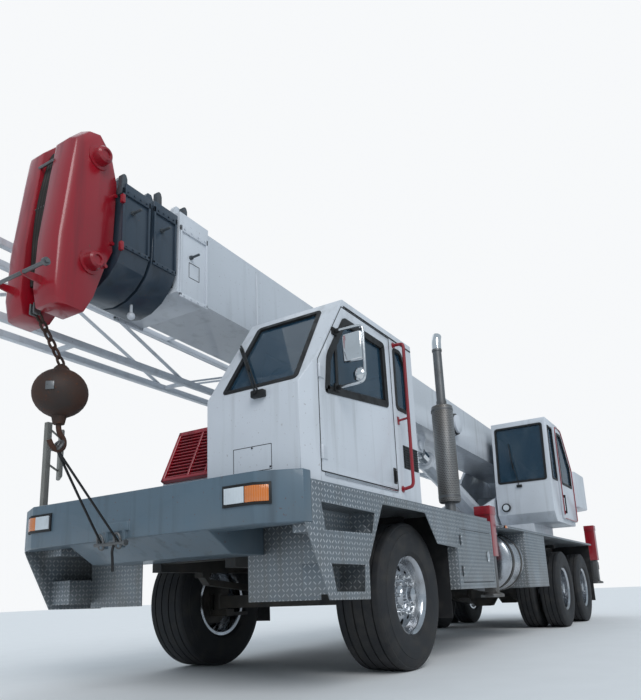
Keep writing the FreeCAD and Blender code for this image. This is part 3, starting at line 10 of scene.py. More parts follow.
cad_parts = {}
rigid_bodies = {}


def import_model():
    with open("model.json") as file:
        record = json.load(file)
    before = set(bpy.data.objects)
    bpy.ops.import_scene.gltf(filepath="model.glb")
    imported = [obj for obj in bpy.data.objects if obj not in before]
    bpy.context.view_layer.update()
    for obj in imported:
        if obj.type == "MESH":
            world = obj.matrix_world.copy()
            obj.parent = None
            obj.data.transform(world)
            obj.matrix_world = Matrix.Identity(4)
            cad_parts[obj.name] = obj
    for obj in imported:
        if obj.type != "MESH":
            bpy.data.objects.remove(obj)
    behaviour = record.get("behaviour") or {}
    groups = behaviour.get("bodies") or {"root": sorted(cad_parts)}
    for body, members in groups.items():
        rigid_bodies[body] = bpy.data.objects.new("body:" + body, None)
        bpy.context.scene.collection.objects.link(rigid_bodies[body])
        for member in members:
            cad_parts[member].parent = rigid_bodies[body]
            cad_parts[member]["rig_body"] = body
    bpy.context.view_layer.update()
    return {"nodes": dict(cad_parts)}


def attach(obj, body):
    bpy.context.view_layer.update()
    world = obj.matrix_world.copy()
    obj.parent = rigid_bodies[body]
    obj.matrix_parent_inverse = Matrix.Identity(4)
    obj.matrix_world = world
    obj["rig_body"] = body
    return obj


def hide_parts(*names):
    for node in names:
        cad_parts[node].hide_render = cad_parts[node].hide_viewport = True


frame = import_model()
scene = bpy.context.scene
print("frame loaded with", len(frame["nodes"]), "nodes")

axleX = 2.640    # front axle ahead of the middle
boomFoot = (-6.6, 0, 2.7)
boomRest = 1.8    # boom angle when parked, in degrees
onCarrier = Matrix.Translation((axleX, 0, 0))
onBoom = onCarrier @ Matrix.Translation(boomFoot) @ Matrix.Rotation(-math.radians(boomRest), 4, "Y")
asPacked = Matrix.Identity(4)
sides = {"left": 1, "right": -1}


# Camera

cameraSizes = {
    "place": (4.8177, 3.3187, 0.6030),    # eye, from the front axle
    "yaw": 3.69131, "pitch": 0.23961, "roll": -0.04133,    # radians
    "focal": 649.67, "middleRow": 434.09,    # pixels
    "frameHeight": 700, "sensor": 36,
}


def makeCamera(c):
    level = math.cos(c["pitch"])
    forward = Vector((level * math.cos(c["yaw"]), level * math.sin(c["yaw"]), math.sin(c["pitch"])))
    right = forward.cross(Vector((0, 0, 1))).normalized()
    up = right.cross(forward)
    tipped = Matrix.Rotation(-c["roll"], 3, forward)
    right, up = tipped @ right, tipped @ up
    data = bpy.data.cameras.new("photoCamera")
    data.lens = c["focal"] * c["sensor"] / c["frameHeight"]
    data.shift_y = (c["middleRow"] - c["frameHeight"] / 2) / c["frameHeight"]
    data.clip_end = 200
    camera = bpy.data.objects.new("photoCamera", data)
    camera.matrix_world = Matrix.Translation(onCarrier @ Vector(c["place"])) @ Matrix(
        (right, up, -forward)).transposed().to_4x4()
    scene.collection.objects.link(camera)
    scene.camera = camera


makeCamera(cameraSizes)
scene.view_settings.view_transform = "Standard"


# Tools that lay the nodes of a material

def put(tree, kind, inputs=None, **settings):
    made = tree.nodes.new("ShaderNode" + kind)
    for key, value in settings.items():
        setattr(made, key, value)
    for key, value in (inputs or {}).items():
        if isinstance(value, bpy.types.NodeSocket):
            tree.links.new(value, made.inputs[key])
        else:
            made.inputs[key].default_value = value
    return made


def maths(tree, operation, first, second=0.0):
    return put(tree, "Math", {0: first, 1: second}, operation=operation).outputs[0]


def eitherOf(tree, share, first, second):    # number between two, by a mask
    return put(tree, "Mix", {0: share, 2: first, 3: second}, data_type="FLOAT").outputs[0]


def blended(tree, share, first, second):    # colour between two, by a mask
    return put(tree, "Mix", {0: share, 6: first, 7: second}, data_type="RGBA").outputs[2]


def ranged(tree, value, low, high, first=0.0, last=1.0):
    return put(tree, "MapRange", {"Value": value, "From Min": low, "From Max": high, "To Min": first,
                                  "To Max": last}).outputs[0]


def shaderOf(tree):
    return tree.nodes["Principled BSDF"].inputs


def blank(name, roughness, metallic=0.0, coat=0.0):    # new material, its nodes, and places on the piece
    material = bpy.data.materials.new(name)
    material.use_nodes = True
    tree = material.node_tree
    for key, value in {"Roughness": roughness, "Metallic": metallic, "Coat Weight": coat,
                       "Coat Roughness": 0.08}.items():
        shaderOf(tree)[key].default_value = value
    return material, tree, put(tree, "TexCoord").outputs["Object"]


def coloured(tree, shade, *layers):    # base colour under layers of mask, strength and colour
    for mask, strength, colour in layers:
        shade = blended(tree, maths(tree, "MULTIPLY", mask, strength), shade, colour)
    tree.links.new(shade, shaderOf(tree)["Base Color"])


def roughened(tree, share, low, high):
    tree.links.new(ranged(tree, share, 0, 1, low, high), shaderOf(tree)["Roughness"])


def embossed(tree, height, depth, strength=1.0):
    bump = put(tree, "Bump", {"Height": height, "Distance": depth, "Strength": strength})
    tree.links.new(bump.outputs[0], shaderOf(tree)["Normal"])


# Noise as a mask: nought below low and one above high.
def patches(tree, place, scale, low, high, detail=4.0, stretch=(1, 1, 1)):
    centred = put(tree, "Mapping", {"Vector": place, "Scale": stretch}).outputs[0]
    noise = put(tree, "TexNoise", {"Vector": centred, "Scale": scale, "Detail": detail}).outputs["Fac"]
    return ranged(tree, noise, low, high)


def lowDust(tree, place, top, bottom):    # dust that gathers towards the ground, broken up by noise
    height = put(tree, "SeparateXYZ", {0: place}).outputs[2]
    return maths(tree, "MULTIPLY", ranged(tree, height, top, bottom), patches(tree, place, 5.0, 0.30, 0.70))


# Studio: sky, lamps and floor

studio = {
    "sky": (0.93, 0.945, 0.96), "skyLight": (0.44, 0.51, 0.57),    # what the camera sees, and what lights
    "lamps": [    # strength, softness in degrees, where the light comes from
        (1.30, 35, (0.75, 0.85, 0.9)),
        (0.40, 60, (-0.6, -0.7, 0.8)),
    ],
    "floorHalf": 60, "floorTones": ((0.80, 0.81, 0.82, 1), (0.86, 0.87, 0.88, 1)),
}


def makeStudio(c):
    world = bpy.data.worlds.new("studioSky")
    world.use_nodes = True
    scene.world = world
    tree = world.node_tree
    path = put(tree, "LightPath").outputs
    seen = maths(tree, "MAXIMUM", path["Is Camera Ray"], path["Is Transmission Ray"])
    tree.links.new(blended(tree, seen, (*c["skyLight"], 1), (*c["sky"], 1)),
                   tree.nodes["Background"].inputs["Color"])
    for number, (power, soft, source) in enumerate(c["lamps"]):
        data = bpy.data.lights.new(f"softLamp{number}", "SUN")
        data.energy = power
        data.angle = math.radians(soft)
        lamp = bpy.data.objects.new(data.name, data)
        lamp.rotation_euler = Vector(source).to_track_quat("Z", "Y").to_euler()
        scene.collection.objects.link(lamp)
    bm = bmesh.new()
    bmesh.ops.create_grid(bm, x_segments=1, y_segments=1, size=c["floorHalf"])
    mesh = bpy.data.meshes.new("studioFloor")
    bm.to_mesh(mesh)
    bm.free()
    floor = bpy.data.objects.new("studioFloor", mesh)
    material, tree, place = blank("paleFloor", 0.9)
    grit = put(tree, "TexNoise", {"Vector": place, "Scale": 3.0, "Detail": 3.0}).outputs["Fac"]
    coloured(tree, blended(tree, grit, *c["floorTones"]))
    mesh.materials.append(material)
    scene.collection.objects.link(floor)


makeStudio(studio)
print("camera and studio ready")


# Finishes

def tone(red, green, blue):    # a screen colour on the shader's scale
    return (*[((part / 255 + 0.055) / 1.055) ** 2.4 for part in (red, green, blue)], 1)


rustTone = tone(92, 52, 30)
dustTone = tone(118, 110, 98)


def paint(name, colour, grime, rough=0.32, streaks=0.3, specks=0.7, coat=0.25, dusty=0.5):
    material, tree, place = blank(name, rough, coat=coat)
    cloud = patches(tree, place, 1.3, 0.35, 0.75)
    streak = patches(tree, place, 2.4, 0.54, 0.80, stretch=(5, 5, 0.35))
    speck = patches(tree, place, 55.0, 0.70, 0.725, detail=2.0)
    coloured(tree, colour, (cloud, 0.22, grime), (streak, streaks, grime), (speck, specks, rustTone),
             (lowDust(tree, place, 1.25, 0.3), dusty, dustTone))
    roughened(tree, streak, rough, rough + 0.25)
    peel = patches(tree, place, 120.0, 0.2, 0.8, detail=2.0)
    embossed(tree, maths(tree, "SUBTRACT", peel, speck), 0.0006, 0.25)
    return material


def metal(name, colour, grime, rough, spread=0.15, dirt=0.35, metallic=1.0):
    material, tree, place = blank(name, rough, metallic)
    smear = patches(tree, place, 5.0, 0.35, 0.80)
    pit = patches(tree, place, 60.0, 0.62, 0.72, detail=3.0)
    coloured(tree, colour, (smear, dirt, grime), (pit, dirt, grime), (lowDust(tree, place, 0.9, 0.2), dirt, dustTone))
    roughened(tree, smear, rough, rough + spread)
    embossed(tree, pit, 0.0005, 0.3)
    return material


# Chequer plate: lens-shaped lugs that lean left and right in turn; the lugs are painted much lighter than the plate
# between them as a painted highlight.
def treadPlate(name, pitch=0.034, lugLong=0.47, lugWide=0.13):
    material, tree, place = blank(name, 0.38, 0.75)
    spot = put(tree, "SeparateXYZ", {0: place}).outputs
    facing = put(tree, "SeparateXYZ", {0: put(tree, "TexCoord").outputs["Normal"]}).outputs
    grid = []
    for axis in (0, 2):    # a face that looks along an axis takes Y instead
        turned = maths(tree, "GREATER_THAN", maths(tree, "ABSOLUTE", facing[axis]), 0.6)
        grid.append(maths(tree, "DIVIDE", eitherOf(tree, turned, spot[axis], spot[1]), pitch))
    cells = [maths(tree, "FLOOR", line) for line in grid]
    near = [maths(tree, "SUBTRACT", maths(tree, "FRACT", line), 0.5) for line in grid]
    odd = maths(tree, "MODULO", maths(tree, "ABSOLUTE", maths(tree, "ADD", *cells)), 2.0)
    rise, fall = maths(tree, "ADD", *near), maths(tree, "SUBTRACT", *near)
    leans = ((eitherOf(tree, odd, rise, fall), lugLong), (eitherOf(tree, odd, fall, rise), lugWide))
    parts = [maths(tree, "POWER", maths(tree, "DIVIDE", maths(tree, "ABSOLUTE", lean), reach * math.sqrt(2)), 2.0)
             for lean, reach in leans]
    lug = ranged(tree, maths(tree, "ADD", *parts), 1.0, 0.45)
    smear = patches(tree, place, 1.8, 0.35, 0.75)
    streak = patches(tree, place, 2.6, 0.50, 0.78, stretch=(5, 5, 0.5))
    # lugs lighter than the plate between them: painted highlight on the raised lugs
    coloured(tree, blended(tree, lug, tone(128, 136, 143), tone(205, 209, 213)), (smear, 0.35, tone(140, 143, 142)),
             (streak, 0.35, tone(112, 106, 98)), (lowDust(tree, place, 1.1, 0.4), 0.5, dustTone))
    roughened(tree, smear, 0.34, 0.55)
    embossed(tree, lug, 0.0025, 0.8)
    return material


def rubber(name, colour, dustShare=0.5, rough=0.72):
    material, tree, place = blank(name, rough)
    scuff = patches(tree, place, 9.0, 0.45, 0.75)
    grain = patches(tree, place, 90.0, 0.3, 0.7, detail=3.0)
    coloured(tree, colour, (scuff, dustShare, tone(92, 88, 82)), (grain, 0.2, tone(20, 20, 21)))
    roughened(tree, scuff, rough, 0.9)
    embossed(tree, grain, 0.001, 0.3)
    return material


# Window glass: a dark tint that lets some of the cab show, under a sharp gloss with smears.
def pane(name, colour, clear):
    material, tree, place = blank(name, 0.04)
    smear = patches(tree, place, 3.0, 0.45, 0.85, stretch=(2, 2, 0.7))
    coloured(tree, colour, (smear, 0.25, tone(120, 130, 134)))
    roughened(tree, smear, 0.03, 0.12)
    shaderOf(tree)["Alpha"].default_value = 1 - clear
    return material


def lens(name, colour):    # moulded lamp lens with fine ribs
    material, tree, place = blank(name, 0.12, coat=0.8)
    ribs = put(tree, "TexWave", {"Vector": place, "Scale": 26.0, "Distortion": 0.4},
               bands_direction="Y").outputs["Fac"]
    # the ribs are painted paler than the lens: painted highlight along the ribs
    coloured(tree, colour, (ribs, 0.08, tone(235, 232, 224)), (patches(tree, place, 22.0, 0.5, 0.8), 0.15, dustTone))
    embossed(tree, ribs, 0.002, 0.5)
    return material


def cloth(name, colour):
    material, tree, place = blank(name, 0.85)
    shaderOf(tree)["Sheen Weight"].default_value = 0.3
    thread = maths(tree, "MULTIPLY", *[put(tree, "TexWave", {"Vector": place, "Scale": 90.0},
                                           bands_direction=axis).outputs["Fac"] for axis in "YZ"])
    coloured(tree, colour, (thread, 0.5, tone(88, 92, 98)), (patches(tree, place, 4.0, 0.4, 0.8), 0.4, dustTone))
    embossed(tree, thread, 0.001, 0.5)
    return material


# Weathered steel sheet with rows of punched holes, laid round an upright axis; the holes are painted near black as
# painted shade of the inside.
def pierced(name, centre, radius, pitch=0.017):
    material, tree, place = blank(name, 0.42, 0.85)
    centred = put(tree, "Mapping", {"Vector": place, "Location": (-centre[0], -centre[1], 0)}).outputs[0]
    spot = put(tree, "SeparateXYZ", {0: centred}).outputs
    angle = maths(tree, "MULTIPLY", maths(tree, "ARCTAN2", spot[1], spot[0]), radius / pitch)
    level = maths(tree, "DIVIDE", spot[2], pitch)
    odd = maths(tree, "MODULO", maths(tree, "FLOOR", level), 2.0)
    lines = maths(tree, "ADD", angle, maths(tree, "MULTIPLY", odd, 0.5)), level
    near = [maths(tree, "SUBTRACT", maths(tree, "FRACT", line), 0.5) for line in lines]
    away = [maths(tree, "POWER", maths(tree, "ABSOLUTE", part), 2.0) for part in near]
    shadedHole = ranged(tree, maths(tree, "ADD", *away), 0.085, 0.05)
    smear = patches(tree, place, 3.0, 0.35, 0.8, stretch=(2, 2, 0.6))
    # holes painted near black: painted shade of the inside seen through them
    coloured(tree, blended(tree, smear, tone(150, 150, 150), tone(104, 98, 92)), (shadedHole, 0.9, tone(24, 23, 22)))
    roughened(tree, smear, 0.32, 0.6)
    embossed(tree, maths(tree, "SUBTRACT", 1.0, shadedHole), 0.002, 0.6)
    return material


finishes = {
    "white_paint": paint("whitePaint", tone(208, 213, 220), tone(150, 152, 152), streaks=0.4, specks=0.3),
    "slate_paint": paint("slatePaint", tone(86, 106, 120), tone(62, 72, 80), rough=0.4, streaks=0.5),
    "dark_paint": paint("darkPaint", tone(48, 62, 76), tone(26, 30, 34), rough=0.38, streaks=0.6, specks=0.4),
    "red_paint": paint("redPaint", tone(150, 14, 32), tone(74, 10, 22), rough=0.3, streaks=0.6, specks=0.5, coat=0.4),
    "black_paint": paint("blackPaint", tone(34, 36, 38), tone(58, 54, 50), rough=0.55, streaks=0.6, coat=0.0),
    "tread_plate": treadPlate("treadPlate"),
    "polished_aluminium": metal("polishedAluminium", tone(192, 196, 202), tone(112, 112, 112), 0.17, dirt=0.5),
    "chrome": metal("chromePlate", tone(222, 224, 226), tone(130, 128, 124), 0.08, 0.12, 0.25),
    "steel": metal("bareSteel", tone(122, 124, 126), tone(70, 60, 52), 0.36, 0.25, 0.6, metallic=0.8),
    "rusty_iron": metal("rustyIron", tone(58, 48, 44), tone(96, 56, 34), 0.62, 0.2, 0.7, metallic=0.35),
    "tyre_rubber": rubber("tyreRubber", tone(31, 33, 37), 0.3),
    "flap_rubber": rubber("flapRubber", tone(24, 25, 28), 0.3),
    "lamp_plastic": lens("amberLens", tone(212, 112, 6)),
    "seat_cloth": cloth("seatCloth", tone(44, 46, 50)),
    "window_glass": pane("windowGlass", tone(34, 64, 84), 0.30),
}
clearLens = lens("clearLens", tone(206, 214, 220))
redLens = lens("redLens", tone(150, 20, 22))
sealRubber = rubber("sealRubber", tone(11, 12, 14), 0.06, 0.5)
mirrorGlass = metal("mirrorGlass", tone(200, 206, 212), tone(150, 150, 150), 0.03, 0.05, 0.15)
wireRope = metal("wireRope", tone(52, 50, 48), tone(30, 28, 26), 0.5, 0.2, 0.6, metallic=0.7)
shieldSteel = pierced("piercedSteel", (axleX - 1.2, 1.075), 0.108)
lugSteel = paint("lugPaint", tone(70, 78, 84), tone(84, 66, 54), rough=0.5, streaks=0.7, coat=0.0)
plainSheet = metal("plainSheet", tone(148, 146, 140), tone(112, 106, 96), 0.5, 0.2, 0.5, metallic=0.45)
trimRubber = ("flap_rubber", sealRubber)    # slot and finish of seals and small black fittings
print("finishes ready")


# Tools that draw into one draft mesh, which addPiece makes a piece of and empties

draft = bmesh.new()
axes = {"X": Vector((1, 0, 0)), "Y": Vector((0, 1, 0)), "Z": Vector((0, 0, 1))}
creaseAngle = math.radians(33)


def fromDraft(name, turn, merge=0.0):
    bmesh.ops.transform(draft, matrix=turn, verts=draft.verts)
    if merge:
        bmesh.ops.remove_doubles(draft, verts=draft.verts, dist=merge)
    bmesh.ops.recalc_face_normals(draft, faces=draft.faces)
    mesh = bpy.data.meshes.new(name)
    draft.to_mesh(mesh)
    draft.clear()
    return mesh


def linked(name, data, body, slot, finish, node):    # the node is the CAD solid that the piece stands for
    data.materials.clear()
    data.materials.append(finish or finishes[slot])
    piece = bpy.data.objects.new(name, data)
    scene.collection.objects.link(piece)
    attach(piece, body)
    if node:
        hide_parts(node)
    return piece


def addPiece(name, body, slot, finish=None, node=None, turn=onCarrier, merge=0.00005):
    mesh = fromDraft(name, turn, merge)
    mesh.polygons.foreach_set("use_smooth", [True] * len(mesh.polygons))
    mesh.set_sharp_from_angle(angle=creaseAngle)
    return linked(name, mesh, body, slot, finish, node)


def addPipe(name, routes, radius, body, slot, finish=None, node=None, turn=onCarrier, closed=False):
    curve = bpy.data.curves.new(name, "CURVE")
    curve.dimensions = "3D"
    curve.bevel_depth = radius
    curve.bevel_resolution = 3
    curve.use_fill_caps = True
    for route in routes:
        spline = curve.splines.new("NURBS")
        spline.points.add(len(route) - 1)
        for point, spot in zip(spline.points, route):
            point.co = (*(turn @ Vector(spot)), 1)
        spline.use_cyclic_u = closed
        spline.order_u = 3
        spline.use_endpoint_u = not closed
    return linked(name, curve, body, slot, finish, node)


def edgesOf(verts):
    return list({edge for vert in verts for edge in vert.link_edges})


def cornersIn(geometry):
    return [part for part in geometry if isinstance(part, bmesh.types.BMVert)]


def rounded(geometry, width, steps, affect="EDGES"):
    bmesh.ops.bevel(draft, geom=geometry, offset=width, offset_type="OFFSET", segments=steps, profile=0.5,
                    affect=affect, clamp_overlap=True, material=-1)


def eased(verts, width, steps=1):    # break the sharp edges between these corners
    sharp = [edge for edge in edgesOf(verts) if len(edge.link_faces) == 2 and edge.calc_face_angle() > 0.5]
    if width and sharp:
        rounded(sharp, width, steps)


def addBlock(first, last, edge=0.002, steps=1, turn=asPacked):    # between two opposite corners
    size = [abs(b - a) for a, b in zip(first, last)]
    middle = [(a + b) / 2 for a, b in zip(first, last)]
    matrix = turn @ Matrix.Translation(middle) @ Matrix.Diagonal((*size, 1))
    eased(bmesh.ops.create_cube(draft, size=1, matrix=matrix)["verts"], edge, steps)


def addPlate(corners, across, edge=0.0, steps=1):    # flat outline raised by a vector
    verts = [draft.verts.new(corner) for corner in corners]
    face = draft.faces.new(verts)
    raised = cornersIn(bmesh.ops.extrude_face_region(draft, geom=[face], use_keep_orig=True)["geom"])
    bmesh.ops.translate(draft, verts=raised, vec=across)
    bmesh.ops.recalc_face_normals(draft, faces=list({f for v in verts + raised for f in v.link_faces}))
    eased(verts + raised, edge, steps)


# Section of (place along the axis, radius) spun right round.
def addTurned(axis, rows, centre, steps=48, closed=False):
    along, out = axes[axis], axes["X" if axis == "Z" else "Z"]
    centre = Vector(centre)
    before = set(draft.verts)
    verts = [draft.verts.new(centre + along * place + out * radius) for place, radius in rows]
    edges = [draft.edges.new(pair) for pair in zip(verts, verts[1:] + (verts[:1] if closed else []))]
    bmesh.ops.spin(draft, geom=verts + edges, cent=centre, axis=along, angle=math.tau, steps=steps, use_merge=True)
    bmesh.ops.remove_doubles(draft, verts=[v for v in draft.verts if v not in before], dist=0.0001)


def addBand(axis, ends, radii, centre, steps):
    (low, high), (inner, outer) = ends, radii
    addTurned(axis, [(low, inner), (low, outer), (high, outer), (high, inner)], centre, steps, closed=True)


def addRod(start, end, radius, sides=16, edge=0.0):
    start, end = Vector(start), Vector(end)
    run = end - start
    turn = Matrix.Translation((start + end) / 2) @ run.to_track_quat("Z", "Y").to_matrix().to_4x4()
    made = bmesh.ops.create_cone(draft, cap_ends=True, segments=sides, radius1=radius, radius2=radius,
                                 depth=run.length, matrix=turn)
    if edge:
        rounded([e for e in edgesOf(made["verts"]) if e.calc_face_angle(0) > 0.9], edge, 2)


def grown(corners, by):    # outline moved outwards in its own plane
    spots = [Vector(corner) for corner in corners]
    normal = (spots[1] - spots[0]).cross(spots[2] - spots[1]).normalized()
    made = []
    for before, here, after in zip(spots[-1:] + spots[:-1], spots, spots[1:] + spots[:1]):
        first = (here - before).normalized().cross(normal)
        second = (after - here).normalized().cross(normal)
        made.append(here + (first + second) * (by / (1 + first.dot(second))))
    return made


# Flat band with round corners, raised by a vector.
def addRing(corners, corner, width, raised, steps=5):
    before = set(draft.verts)
    verts = [draft.verts.new(spot) for spot in corners]
    draft.faces.new(verts)
    rounded(verts, corner, steps, "VERTICES")
    rim = [v for v in draft.verts if v not in before]
    face = max(rim[0].link_faces, key=lambda f: len(f.verts))
    band = bmesh.ops.inset_region(draft, faces=[face], thickness=width, use_even_offset=True,
                                  use_boundary=True)["faces"]
    bmesh.ops.delete(draft, geom=[face], context="FACES_ONLY")
    made = bmesh.ops.extrude_face_region(draft, geom=band, use_keep_orig=True)["geom"]
    bmesh.ops.translate(draft, verts=cornersIn(made), vec=raised)


def without(unwanted):    # drop every loose part that has a corner where nothing of this piece should be
    marked = {vert for vert in draft.verts if unwanted(vert.co)}
    fringe = set(marked)
    while fringe:
        fringe = {edge.other_vert(v) for v in fringe for edge in v.link_edges} - marked
        marked |= fringe
    bmesh.ops.delete(draft, geom=list(marked), context="VERTS")


def thickened(by):    # walls moved outwards, with both ends along X kept
    ends = min(v.co.x for v in draft.verts), max(v.co.x for v in draft.verts)
    draft.normal_update()
    moved = [(v, v.co + v.normal * (by * v.calc_shell_factor())) for v in draft.verts]
    for vert, spot in moved:
        vert.co = (min(max(spot.x, ends[0]), ends[1]), spot.y, spot.z)


# Copy of a CAD node with its sharp edges rounded; it stands for the node.
def softened(name, node, width, slot, steps=2, pick=None, unwanted=None, fatter=0.0):
    draft.from_mesh(frame["nodes"][node].data)
    bmesh.ops.remove_doubles(draft, verts=draft.verts, dist=0.0002)
    if unwanted:
        without(unwanted)
    if fatter:
        thickened(fatter)
    bmesh.ops.dissolve_limit(draft, angle_limit=math.radians(0.6), verts=draft.verts, edges=draft.edges)
    sharp = [edge for edge in draft.edges if len(edge.link_faces) == 2
             and edge.calc_face_angle() > math.radians(20) and (pick is None or pick(edge))]
    rounded(sharp, width, steps)
    return addPiece(name, frame["nodes"][node]["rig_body"], slot, None, node, asPacked, 0)


def bored(piece, turn):    # cut the closed shapes in the draft out of a piece
    cutter = bpy.data.objects.new("cutter", fromDraft("cutter", turn))
    scene.collection.objects.link(cutter)
    trim = piece.modifiers.new("holes", "BOOLEAN")
    trim.object = cutter
    trim.solver = "EXACT"
    whole = bpy.data.meshes.new_from_object(piece.evaluated_get(bpy.context.evaluated_depsgraph_get()))
    piece.modifiers.clear()
    piece.data = whole
    whole.name = piece.name
    whole.set_sharp_from_angle(angle=creaseAngle)
    bpy.data.objects.remove(cutter)


def upright(outline, y):
    return [Vector((x, y, z)) for x, z in outline]


# Wheels

wheelSizes = {
    "front": {"radius": 0.562, "width": 0.425, "grooves": (-0.58, -0.2, 0.2, 0.58), "grooveHalf": 0.006,
              "grooveDepth": 0.014, "tyres": (0,), "nutSeat": 0.098, "out": 0.957},
    "rear": {"radius": 0.525, "width": 0.28, "grooves": (-0.5, 0.0, 0.5), "grooveHalf": 0.006,
             "grooveDepth": 0.016, "tyres": (0, -0.33), "nutSeat": -0.058, "out": 1.095},
    "rim": 0.286, "nutRing": 0.143, "nuts": 10, "steps": 96, "holes": 10, "holeRing": 0.205, "holeRadius": 0.024,
    "axles": [("front", "front", 0), ("first", "rear", -5.175), ("second", "rear", -6.55)],    # piece, kind, x
}
# Side wall from bead to tread: share of the half width, share of the wall's height.
wallShape = [(0.76, 0.0), (0.81, 0.05), (0.90, 0.13), (0.935, 0.155), (0.945, 0.19), (0.975, 0.26), (1.0, 0.42),
             (1.0, 0.55), (0.985, 0.66), (0.985, 0.69), (0.965, 0.70), (0.945, 0.78), (0.90, 0.88), (0.86, 0.915),
             (0.86, 0.945), (0.80, 0.985), (0.76, 0.994)]
nutShape = [(-0.004, 0.0), (-0.004, 0.022), (0.012, 0.021), (0.016, 0.016), (0.050, 0.015), (0.060, 0.010),
            (0.062, 0.0)]
rimRows = {    # place along the axle, radius
    "front": [
        (0.205, 0.0), (0.205, 0.040), (0.199, 0.052), (0.172, 0.058), (0.165, 0.066), (0.135, 0.070),
        (0.120, 0.082), (0.110, 0.104), (0.100, 0.108), (0.098, 0.172), (0.092, 0.190), (0.084, 0.205),
        (0.080, 0.230), (0.086, 0.250), (0.106, 0.261), (0.150, 0.266), (0.163, 0.276), (0.172, 0.290),
        (0.178, 0.298), (0.174, 0.304), (0.162, 0.300), (0.158, 0.287), (-0.158, 0.287), (-0.162, 0.300),
        (-0.175, 0.300), (-0.172, 0.274), (-0.150, 0.264), (0.040, 0.258), (0.062, 0.235), (0.070, 0.150),
        (0.060, 0.112), (-0.060, 0.110), (-0.060, 0.0)],
    "rear": [
        (0.100, 0.0), (0.100, 0.052), (0.094, 0.068), (0.060, 0.074), (0.052, 0.092), (0.000, 0.100),
        (-0.040, 0.106), (-0.056, 0.110), (-0.058, 0.172), (-0.052, 0.190), (-0.056, 0.215), (-0.066, 0.238),
        (-0.052, 0.254), (0.020, 0.261), (0.092, 0.267), (0.104, 0.278), (0.112, 0.292), (0.108, 0.302),
        (0.100, 0.298), (0.098, 0.287), (-0.098, 0.287), (-0.104, 0.298), (-0.112, 0.276), (-0.100, 0.262),
        (-0.088, 0.240), (-0.088, 0.112), (-0.220, 0.112), (-0.226, 0.280), (-0.232, 0.287), (-0.428, 0.287),
        (-0.440, 0.298), (-0.440, 0.268), (-0.400, 0.240), (-0.396, 0.120), (-0.440, 0.112), (-0.440, 0.0)],
}


def tyreSection(c, rim):
    half, tall = c["width"] / 2, c["radius"] - rim
    wall = [(share * half, rim + height * tall) for share, height in wallShape]
    tread = []
    for groove in sorted(c["grooves"], reverse=True):
        middle = groove * half * 0.95
        top = c["radius"] - 0.006 * groove ** 2
        deep, wide = top - c["grooveDepth"], c["grooveHalf"]
        tread += [(middle + wide, top), (middle + wide * 0.6, deep), (middle - wide * 0.6, deep), (middle - wide, top)]
    return wall + tread + [(-along, radius) for along, radius in wall[::-1]]


def makeWheel(c, sideName, label, kind, x):
    one, side = c[kind], sides[sideName]
    plural, seat = "s" if kind == "rear" else "", one["nutSeat"]
    body = f"{label}_wheel{plural}_{sideName}"
    facing = onCarrier @ Matrix.Translation((x, one["out"] * side, one["radius"]))
    facing = facing @ Matrix.Rotation(0 if side > 0 else math.pi, 4, "Z")
    rows = tyreSection(one, c["rim"])
    for shift in one["tyres"]:
        addTurned("Y", rows, (0, shift, 0), c["steps"], closed=True)
    addPiece(f"{label}Tyre{sideName}", body, "tyre_rubber", None, f"{label}_tyre{plural}_{sideName}", facing)
    addTurned("Y", rimRows[kind], (0, 0, 0), c["steps"])
    rim = addPiece(f"{label}Rim{sideName}", body, "polished_aluminium", None, f"{label}_rim{plural}_{sideName}",
                   facing)
    for step in range(c["holes"]):
        turn = math.tau * (step + 0.5) / c["holes"]
        x, z = c["holeRing"] * math.cos(turn), c["holeRing"] * math.sin(turn)
        addRod((x, seat - 0.06, z), (x, seat + 0.05, z), c["holeRadius"], 20)
    bored(rim, facing)
    for step in range(c["nuts"]):
        turn = math.tau * step / c["nuts"]
        addTurned("Y", nutShape, (c["nutRing"] * math.cos(turn), seat, c["nutRing"] * math.sin(turn)), 12)
    addPiece(f"{label}Nuts{sideName}", body, "chrome", turn=facing)


for sideName in sides:
    for axle in wheelSizes["axles"]:
        makeWheel(wheelSizes, sideName, *axle)
print("wheels ready")


# Sheet metal that keeps its CAD shape, with rounded edges

shellTable = [    # piece, CAD node, rounding, material slot
    ("hoodShell", "hood", 0.010, "white_paint"),
    ("counterweightShell", "counterweight", 0.025, "white_paint"),
    ("turntableShell", "turntable", 0.004, "white_paint"),
    ("boomBaseShell", "boom_base", 0.004, "white_paint"),
    ("section2Shell", "boom_section_2", 0.005, "dark_paint"),
    ("section3Shell", "boom_section_3", 0.005, "dark_paint"),
    ("bumperShell", "bumper", 0.008, "slate_paint"),
    ("deckShell", "deck", 0.003, "tread_plate"),
    ("sideStepShell", "side_steps", 0.0015, "tread_plate"),
    ("sideBoxShell", "side_boxes", 0.003, "tread_plate"),
    ("toolBoxDoorShell", "tool_box_door", 0.0015, "tread_plate"),
    ("operatorDoorShell", "operator_door", 0.005, "white_paint"),
]
for end in ("front", "rear"):
    for sideName in sides:
        shellTable.append((f"{end}Outrigger{sideName}", f"{end}_outrigger_{sideName}", 0.004, "red_paint"))
        shellTable.append((f"{end}JackLeg{sideName}", f"{end}_jack_leg_{sideName}", 0.003, "steel"))
for row in shellTable:
    softened(*row)

cabSkin = {"left": 1.269, "right": 0.471, "front": 1.619, "roof": 2.60, "screenFoot": 1.88}    # just inside each face


def cabEdge(edge):    # the outer edges of a cab, not its doorway or windows
    c = cabSkin
    spots, across, heights = zip(*[(vert.co.x - axleX, vert.co.y, vert.co.z) for vert in edge.verts])
    onSide = min(across) > c["left"] or max(across) < c["right"]
    raked = onSide and abs(spots[0] - spots[1]) > 0.3 and abs(heights[0] - heights[1]) > 0.45
    corner = min(spots) > 1.48 and min(across) > 1.21 and min(heights) > 1.25
    front = min(spots) > c["front"] and (onSide or min(heights) > c["screenFoot"])
    return min(heights) > c["roof"] or raked or corner or front


